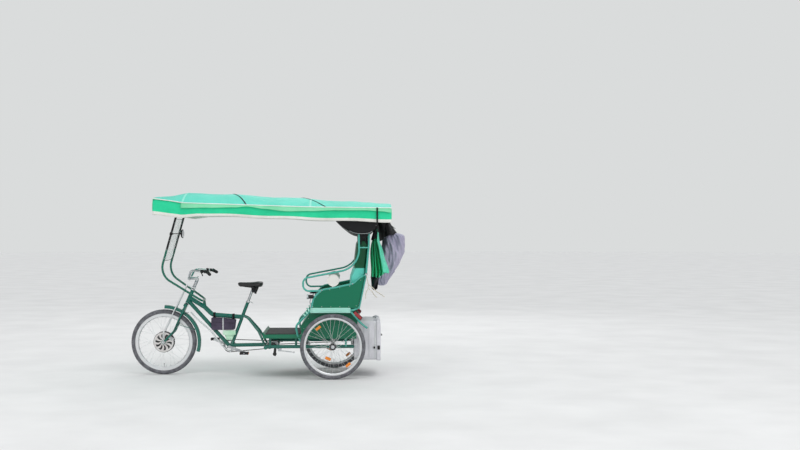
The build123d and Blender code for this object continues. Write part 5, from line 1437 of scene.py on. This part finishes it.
seam_cloth = coated_cloth("pale seam tape", "#93EDDB", "#7BDFCB", (6, 300))
for number, x in enumerate((-0.818, 0.445)):
    seam = fit(roof_strip(f"canopy_seam_{number}", x, x, 0.022, 0.0016), "frame",
        seam_cloth)
black_webbing = coated_cloth("black polyester webbing", "#17181A", "#0E0F10", (8, 260),
    roughness=0.7, sheen=0.03)
for number, (crown_x, edge_x) in enumerate(((-0.366, -0.185), (0.344, 0.609))):
    strap = fit(roof_strip(f"roof_strap_{number}", crown_x, edge_x, 0.012, 0.0034), "frame",
        black_webbing)


# Piped edges and the valance: an emerald skirt sewn under the roof's edge on all four sides, with
# a white bound hem. Over it hangs the mint flap of the top sheet, from the visor rearwards.
corner = 0.03
rim_points = []
for sign_x, sign_y, first in ((-1, -1, 180), (1, -1, 270), (1, 1, 0), (-1, 1, 90)):
    middle_x = (roof_rear if sign_x > 0 else roof_front) - sign_x * corner
    for turn in range(0, 91, 15):
        a = math.radians(first + turn)
        rim_points.append((middle_x + corner * math.cos(a),
            sign_y * (roof_half - corner) + corner * math.sin(a)))
lengths = [math.dist(a, b) for a, b in zip(rim_points, rim_points[1:] + rim_points[:1])]
round_the_roof = sum(lengths)


def rim_at(distance):
    """A point on the roof's outline and the outward direction there."""
    distance %= round_the_roof
    for i, length in enumerate(lengths):
        if distance <= length or i == len(lengths) - 1:
            a, b = Vector(rim_points[i]), Vector(rim_points[(i + 1) % len(rim_points)])
            along = (b - a).normalized()
            return a + along * min(distance, length), Vector((along.y, -along.x))
        distance -= length


def skirt(name, rows, top, bottom, thickness=0.001):
    """A band round the roof between two shares of the valance's height, bulging and rippled."""
    def place(u, v):
        (x, y), outward = rim_at(u * round_the_roof)
        _, _, hem = roof_at(x)
        share = top + (bottom - top) * (1 - v)
        upper = roof_height(max(x, roof_front), y) - 0.002
        ripple = 0.0045 * math.sin(u * math.tau * 23 + 1.3 * math.sin(u * 40)) * share ** 1.5
        ripple += 0.003 * math.sin(u * math.tau * 61) * share ** 2
        ripple += 0.004 * math.sin(math.pi * share)
        hang = 0.004 * math.sin(u * math.tau * 11) * share
        lean = Vector((x, y)) + outward * (ripple - 0.003)
        return (lean.x, lean.y, upper + (hem - upper) * share + hang)
    return surface(name, 520, rows, place, thickness)


valance = skirt("canopy_valance_sheet", 12, 0.0, 1.0)
fit(valance, "frame", coated_cloth("emerald coated polyester", "#2CE0A6", "#1BCB92",
    (2300, 50)), "canopy_valance")
hem = skirt("valance_hem", 3, 0.80, 1.03, 0.0042)
fit(hem, "frame", coated_cloth("white cotton binding", "#F4F4EE", "#DADCD2", (2300, 8),
    roughness=0.75))

# heights of the mint flap along the roof: place, drop below the piped edge
flap_drops = (
    (-0.83, 0.052), (-0.55, 0.040), (-0.30, 0.028), (-0.185, 0.015), (0.0, 0.034), (0.20, 0.050),
    (0.445, 0.040), (0.70, 0.029), (1.0, 0.026), (1.15, 0.034), (1.252, 0.046),
)


def flap_drop(x):
    for (x1, d1), (x2, d2) in zip(flap_drops, flap_drops[1:]):
        if x <= x2:
            share = max(0.0, (x - x1) / (x2 - x1))
            return d1 + (d2 - d1) * (3 * share ** 2 - 2 * share ** 3)
    return flap_drops[-1][1]


mint_cloth = coated_cloth("mint coated polyester", "#8FE6B8", "#72D8A4", (900, 12))
white_piping = coated_cloth("white vinyl piping", "#F5F6F2", "#E2E4DE", (4, 900), roughness=0.4)
flap_front, flap_length = -0.83, 2.082
for name, side in (("left", -1), ("right", 1)):
    def flap_point(u, v):
        x = flap_front + u * flap_length
        edge, _, _ = roof_at(x)
        drop = flap_drop(x) * (1 - v)
        flare = 0.004 + 0.010 * (1 - v) ** 1.5 + 0.0015 * math.sin(60 * x) * (1 - v)
        return (x, side * (roof_half + flare), edge + 0.001 - drop)
    flap = fit(surface(f"canopy_flap_{name}", 150, 6, flap_point, 0.001), "frame",
        mint_cloth)
    edge_line = [(roof_front + 0.005 + i * 0.0985, side * (roof_half + 0.003),
        roof_at(roof_front + i * 0.0985)[0] + 0.002) for i in range(25)]
    fit(swept(f"canopy_piping_{name}", edge_line, 0.0045, bend=0.03, detail=2), "frame",
        white_piping)

# a black strap hangs over the near edge and holds the side curtain up to the roof
def strap_point(u, v):
    low, high = 1.500, roof_at(1.110)[0] + 0.004
    z = low + (high - low) * v
    return (1.104 + 0.016 * u, -roof_half - 0.020 + 0.012 * abs(v - 0.6), z)


strap = fit(surface("curtain_strap", 2, 24, strap_point, 0.0015), "frame", black_webbing)


# Stowage bag under the rear of the roof: black nylon slung like a hammock from the side rails, with
# a thin grey piping sewn along each lower edge. Its middle sags below the two edges.
black_nylon = coated_cloth("black ripstop nylon", "#14161A", "#090A0C", (420, 420), roughness=0.45,
    sheen=0.03, bump_strength=0.5)
bag_profile = (
    (0.654, 1.637), (0.674, 1.606), (0.702, 1.572), (0.732, 1.541), (0.762, 1.513), (0.798, 1.484),
    (0.838, 1.455), (0.877, 1.433), (0.916, 1.424), (0.956, 1.421), (0.998, 1.423), (1.038, 1.431),
    (1.062, 1.452), (1.085, 1.478), (1.102, 1.520), (1.117, 1.562), (1.119, 1.636),
)


def along_path(points, share):
    """A point at a share of the way along a line of points."""
    place = min(share, 0.9999) * (len(points) - 1)
    one, two = points[int(place)], points[int(place) + 1]
    return [a + (place - int(place)) * (b - a) for a, b in zip(one, two)]


bag_half, bag_middle, bag_head = 0.484, 0.900, 1.636


def sag_share(z):
    """How far down the hammock a height lies: 0 near the rails, about 1 at its foot."""
    return max(0.0, 1.60 - z) / 0.18


def bag_point(u, v):
    x, z = along_path(bag_profile, u)
    end = min(1.0, min(v, 1 - v) / 0.05)
    y = bag_half * max(-1, min(1, (v - 0.5) / 0.45))
    low = sag_share(z)
    z += 0.026 * low * (y / bag_half) ** 2
    z += low * (0.0035 * math.sin(26 * y + 30 * x) + 0.002 * math.sin(71 * y - 12 * x))
    return (bag_middle + (x - bag_middle) * end, y, bag_head + (z - bag_head) * end)


bag = fit(surface("stowage_bag", 120, 90, bag_point, 0.0015), "frame",
    black_nylon, "roof_bag")
grey_piping = coated_cloth("grey cotton piping", "#A9B0B2", "#8C9396", (4, 500), roughness=0.7)
for name, side in (("left", -1), ("right", 1)):
    line = [(x, side * 0.4855, z + 0.026 * sag_share(z) + 0.004) for x, z in bag_profile[6:13]]
    fit(swept(f"stowage_piping_{name}", line, 0.0026, bend=0.02, detail=2), "frame",
        grey_piping)


# Side flaps of the stowage bag: hemmed pieces of the same black ripstop, sewn to its foot. They hang
# between the rear posts.
def bag_flap(name, side):
    def place(u, v):
        x = 0.934 + 0.082 * u + 0.006 * (1 - v)
        z = 1.340 + 0.100 * v + 0.010 * math.sin(math.pi * u) * (1 - v)
        return (x, side * (0.405 + 0.010 * math.sin(9 * u + 3 * v) * (1 - v) + 0.020 * v), z)
    flap = fit(surface(name, 18, 20, place, 0.0012), "frame", black_nylon)


bag_flap("stowage_flap_left", -1)
bag_flap("stowage_flap_right", 1)


# Side curtain: emerald coated cloth, gathered into broad pleats and strapped up to the roof behind
# the seat. Its rear edge turns the pale lining outwards in one flat fold.
curtain_cloth = coated_cloth("emerald curtain cloth", "#2BD597", "#17AB78", (500, 330))
lining_cloth = coated_cloth("pale curtain lining", "#6FE3C0", "#4FCBA6", (90, 330))
pleats, curtain_head, curtain_y = 4.5, 1.520, -0.345
# height, left and right edge along the machine, depth of the folds across it
curtain_rows = (
    (1.008, 1.047, 1.190, 0.062), (1.068, 1.046, 1.205, 0.062), (1.182, 1.046, 1.180, 0.056),
    (1.289, 1.048, 1.152, 0.050), (1.338, 1.052, 1.140, 0.044), (1.372, 1.060, 1.132, 0.036),
    (1.450, 1.080, 1.126, 0.028), (1.520, 1.092, 1.122, 0.022),
)


def pleat_point(share, v):
    """share runs across the gathered width, v up from the foot."""
    foot = 1.010 + 0.034 * max(0.0, (share - 0.55) / 0.45) + 0.006 * math.sin(8 * share)
    z = foot + (curtain_head - foot) * v
    left, right, depth = between(curtain_rows, z)
    phase = math.tau * pleats * share
    depth *= 1 - 0.22 * math.sin(2.3 * pleats * share + 1.1)
    width = right - left
    x = left + width * (0.03 + 0.94 * share) + 0.16 * width / pleats * math.sin(2 * phase)
    x += 0.004 * math.sin(9 * (1 - v) + 11 * share)
    y = curtain_y + depth * math.sin(phase) + 0.006 * math.sin(7 * (1 - v) + 5 * share)
    return (x, y, z)


def lining_point(u, v):
    """The turned edge: a band that hangs in front of the last pleats and widens downwards."""
    z = 1.062 + 0.410 * v - 0.012 * u
    _, right, _ = between(curtain_rows, z)
    x = right + (-0.030 + 0.050 * u) * (1.1 - 0.85 * v) + 0.010 * (1 - v) * u + 0.003 * math.sin(13 * v)
    y = -0.412 + 0.046 * u ** 2 + 0.006 * math.sin(9 * v + 4 * u)
    y -= 0.010 * (1 - v) * math.sin(math.pi * u)
    return (x, y, z)


curtain = fit(surface("gathered_curtain", 240, 56, pleat_point, 0.0012), "frame",
    curtain_cloth, "side_curtain")
lining = fit(surface("curtain_lining_fold", 16, 46, lining_point, 0.0012), "frame",
    lining_cloth)


def head_wrap_and_shade_point(u, v):
    """A black wrap drawn round the curtain's head, where the strap takes it; its black is also painted
    shade, standing in for the stowage bag's shadow on the curtain's head.
    """
    z = 1.392 + 0.008 * math.sin(3 * math.tau * u) * (1 - v) + 0.140 * v
    left, right, depth = between(curtain_rows, z)
    turn = math.tau * u
    ruffle = 1 + 0.07 * math.sin(9 * turn + 2 * v) + 0.05 * (1 - v)
    across = ((right - left) / 2 + 0.007) * ruffle * math.cos(turn)
    return ((left + right) / 2 + across, curtain_y + (depth + 0.009) * ruffle * math.sin(turn), z)


# black wrap over the curtain's head: part real wrap, part painted shade under the stowage bag
head_wrap_and_shade = fit(surface("curtain_head_wrap_and_shade", 90, 14, head_wrap_and_shade_point, 0.0012), "frame", black_nylon)


# Rain cover: a large sheet of grey-lilac coated nylon, folded into a bundle and hung from the roof's
# rear bow by two black straps. A black ripstop hood is gathered over its top, and a band of its own
# cloth holds it.
cover_nylon = coated_cloth("grey lilac coated nylon", "#B7B2C8", "#9391AC", (640, 420), roughness=0.45,
    bump_strength=0.35)
# height, middle along and across, half length along x and across y
cover_rings = (
    (0.912, 1.172, 0.02, 0.030, 0.080), (0.932, 1.176, 0.02, 0.056, 0.104),
    (0.962, 1.172, 0.02, 0.076, 0.126), (1.002, 1.176, 0.02, 0.098, 0.158),
    (1.065, 1.203, 0.02, 0.114, 0.180), (1.132, 1.240, 0.02, 0.122, 0.196),
    (1.190, 1.260, 0.02, 0.128, 0.203), (1.248, 1.281, 0.02, 0.132, 0.207),
    (1.349, 1.295, 0.02, 0.128, 0.207), (1.400, 1.296, 0.02, 0.124, 0.205),
    (1.425, 1.296, 0.02, 0.120, 0.200), (1.442, 1.290, 0.02, 0.104, 0.180),
    (1.458, 1.280, 0.02, 0.060, 0.140),
)
cover_foot, cover_top = cover_rings[0][0], cover_rings[-1][0]


def cover_point(u, v):
    end = min(1.0, v / 0.03, (1 - v) / 0.05)
    height = cover_foot + (cover_top - cover_foot) * max(0.0, min(1.0, (v - 0.03) / 0.92))
    x, y, half_x, half_y = between(cover_rings, height)
    turn = math.tau * u
    square = (abs(math.cos(turn)) ** 4 + abs(math.sin(turn)) ** 4) ** -0.25
    lean = turn + 1.6 * (height - 1.2)
    fold = 0.040 * math.sin(7 * lean + 14 * height) + 0.026 * math.sin(12 * lean - 19 * height)
    fold += 0.016 * math.sin(23 * lean + 33 * height)
    fold += 0.034 * abs(math.sin(4 * lean + 20 * height)) ** 5
    size = (square * 0.90 * (0.94 + fold) + 0.03) * end
    return (x + half_x * size * math.cos(turn), y + half_y * size * math.sin(turn), height)


cover = fit(surface("folded_rain_cover", 300, 130, cover_point), "frame",
    cover_nylon, "rain_cover")


hood_x, hood_y = 1.232, 0.02


def hood_point(u, v):
    """A gathered cloth hood: from the bundle's shoulders (v 0) up to the roof's rear bow (v 1)."""
    turn = math.tau * u
    low_height = 1.432 + 0.026 * math.cos(turn) - 0.006 * math.cos(6 * turn)
    low = (1.2430 + 0.0890 * math.cos(turn), hood_y + 0.214 * math.sin(turn), low_height)
    high = (1.2080 + 0.0240 * math.cos(turn), hood_y + 0.205 * math.sin(turn), 1.600)
    gather = 1 + 0.020 * math.sin(17 * turn + 3 * v) * v + 0.012 * math.sin(9 * turn)
    gather -= 0.05 * math.sin(math.pi * v)
    spot = [a + (b - a) * v for a, b in zip(low, high)]
    return (hood_x + (spot[0] - hood_x) * gather, hood_y + (spot[1] - hood_y) * gather, spot[2])


hood = fit(surface("rain_cover_hood", 200, 30, hood_point, 0.0012), "frame", black_nylon)


def drop_point(u, v):
    """A plain piece of the same black cloth between the stowage bag and the hood."""
    z = 1.392 + 0.208 * v - 0.018 * math.sin(math.pi * u)
    x = 1.112 + 0.002 * v + u * (0.072 + 0.026 * v)
    return (x, -0.206 + 0.008 * math.sin(60 * x + 4 * v) + 0.004 * math.sin(22 * z), z)


drop = fit(surface("rear_drop_cloth", 24, 36, drop_point, 0.0012), "frame", black_nylon)
band_height = 1.06


def band_point(u, v):
    x, y, _ = cover_point(u, 0.03 + 0.92 * (band_height - cover_foot) / (cover_top - cover_foot))
    middle_x, middle_y = between(cover_rings, band_height)[:2]
    loose = 1.015
    across = middle_y + (y - middle_y) * loose
    return (middle_x + (x - middle_x) * loose, across, band_height + 0.022 * (v - 0.5))


band = fit(surface("rain_cover_band", 168, 3, band_point, 0.0015), "frame", cover_nylon)
dress("cover_straps", cloth("black polyester webbing tape", "#19191B", "#0D0D0E", roughness=0.75))


# Ties below the curtain: a black cloth tail and three pale cotton tapes, knotted to the rear post
# and left hanging with bare ends.


def tail_point(u, v):
    x = 1.052 + 0.086 * u * (1 - 0.35 * v) + 0.010 * v
    return (x, curtain_y + 0.018 * math.sin(7 * u + 3 * v), 1.018 - 0.118 * v - 0.020 * v * math.sin(3 * u))


tail = surface("curtain_tail", 16, 20, tail_point, 0.0018)
fit(tail, "frame", black_nylon)
cotton = coated_cloth("pale cotton tape", "#E3DDCF", "#BDB6A6", (3, 60), roughness=0.8)
tapes = (
    ("knotted_tape_front", [(1.0080, -0.4500, 1.0230), (1.0200, -0.4560, 0.9700), (1.0300, -0.4540, 0.9130),
        (1.0080, -0.4520, 0.8780), (0.9970, -0.4530, 0.8450), (0.9970, -0.4530, 0.8000)]),
    ("knotted_tape_rear", [(1.0240, -0.4520, 0.9440), (1.0700, -0.4480, 0.9100), (1.1050, -0.4440, 0.8700),
        (1.1500, -0.4400, 0.8450), (1.1880, -0.4380, 0.8160)]),
    ("knotted_tape_low", [(1.0240, -0.4540, 0.9060), (1.0600, -0.4500, 0.8800), (1.0850, -0.4480, 0.8350),
        (1.1120, -0.4460, 0.8120)]),
)
for name, points in tapes:
    route = rounded(points, 0.03, 8)
    length = sum((b - a).length for a, b in zip(route, route[1:]))
    tape = fit(swept(name, points, 0.0042, bend=0.03, detail=2), "frame", cotton)
    [list(p) for p in route]
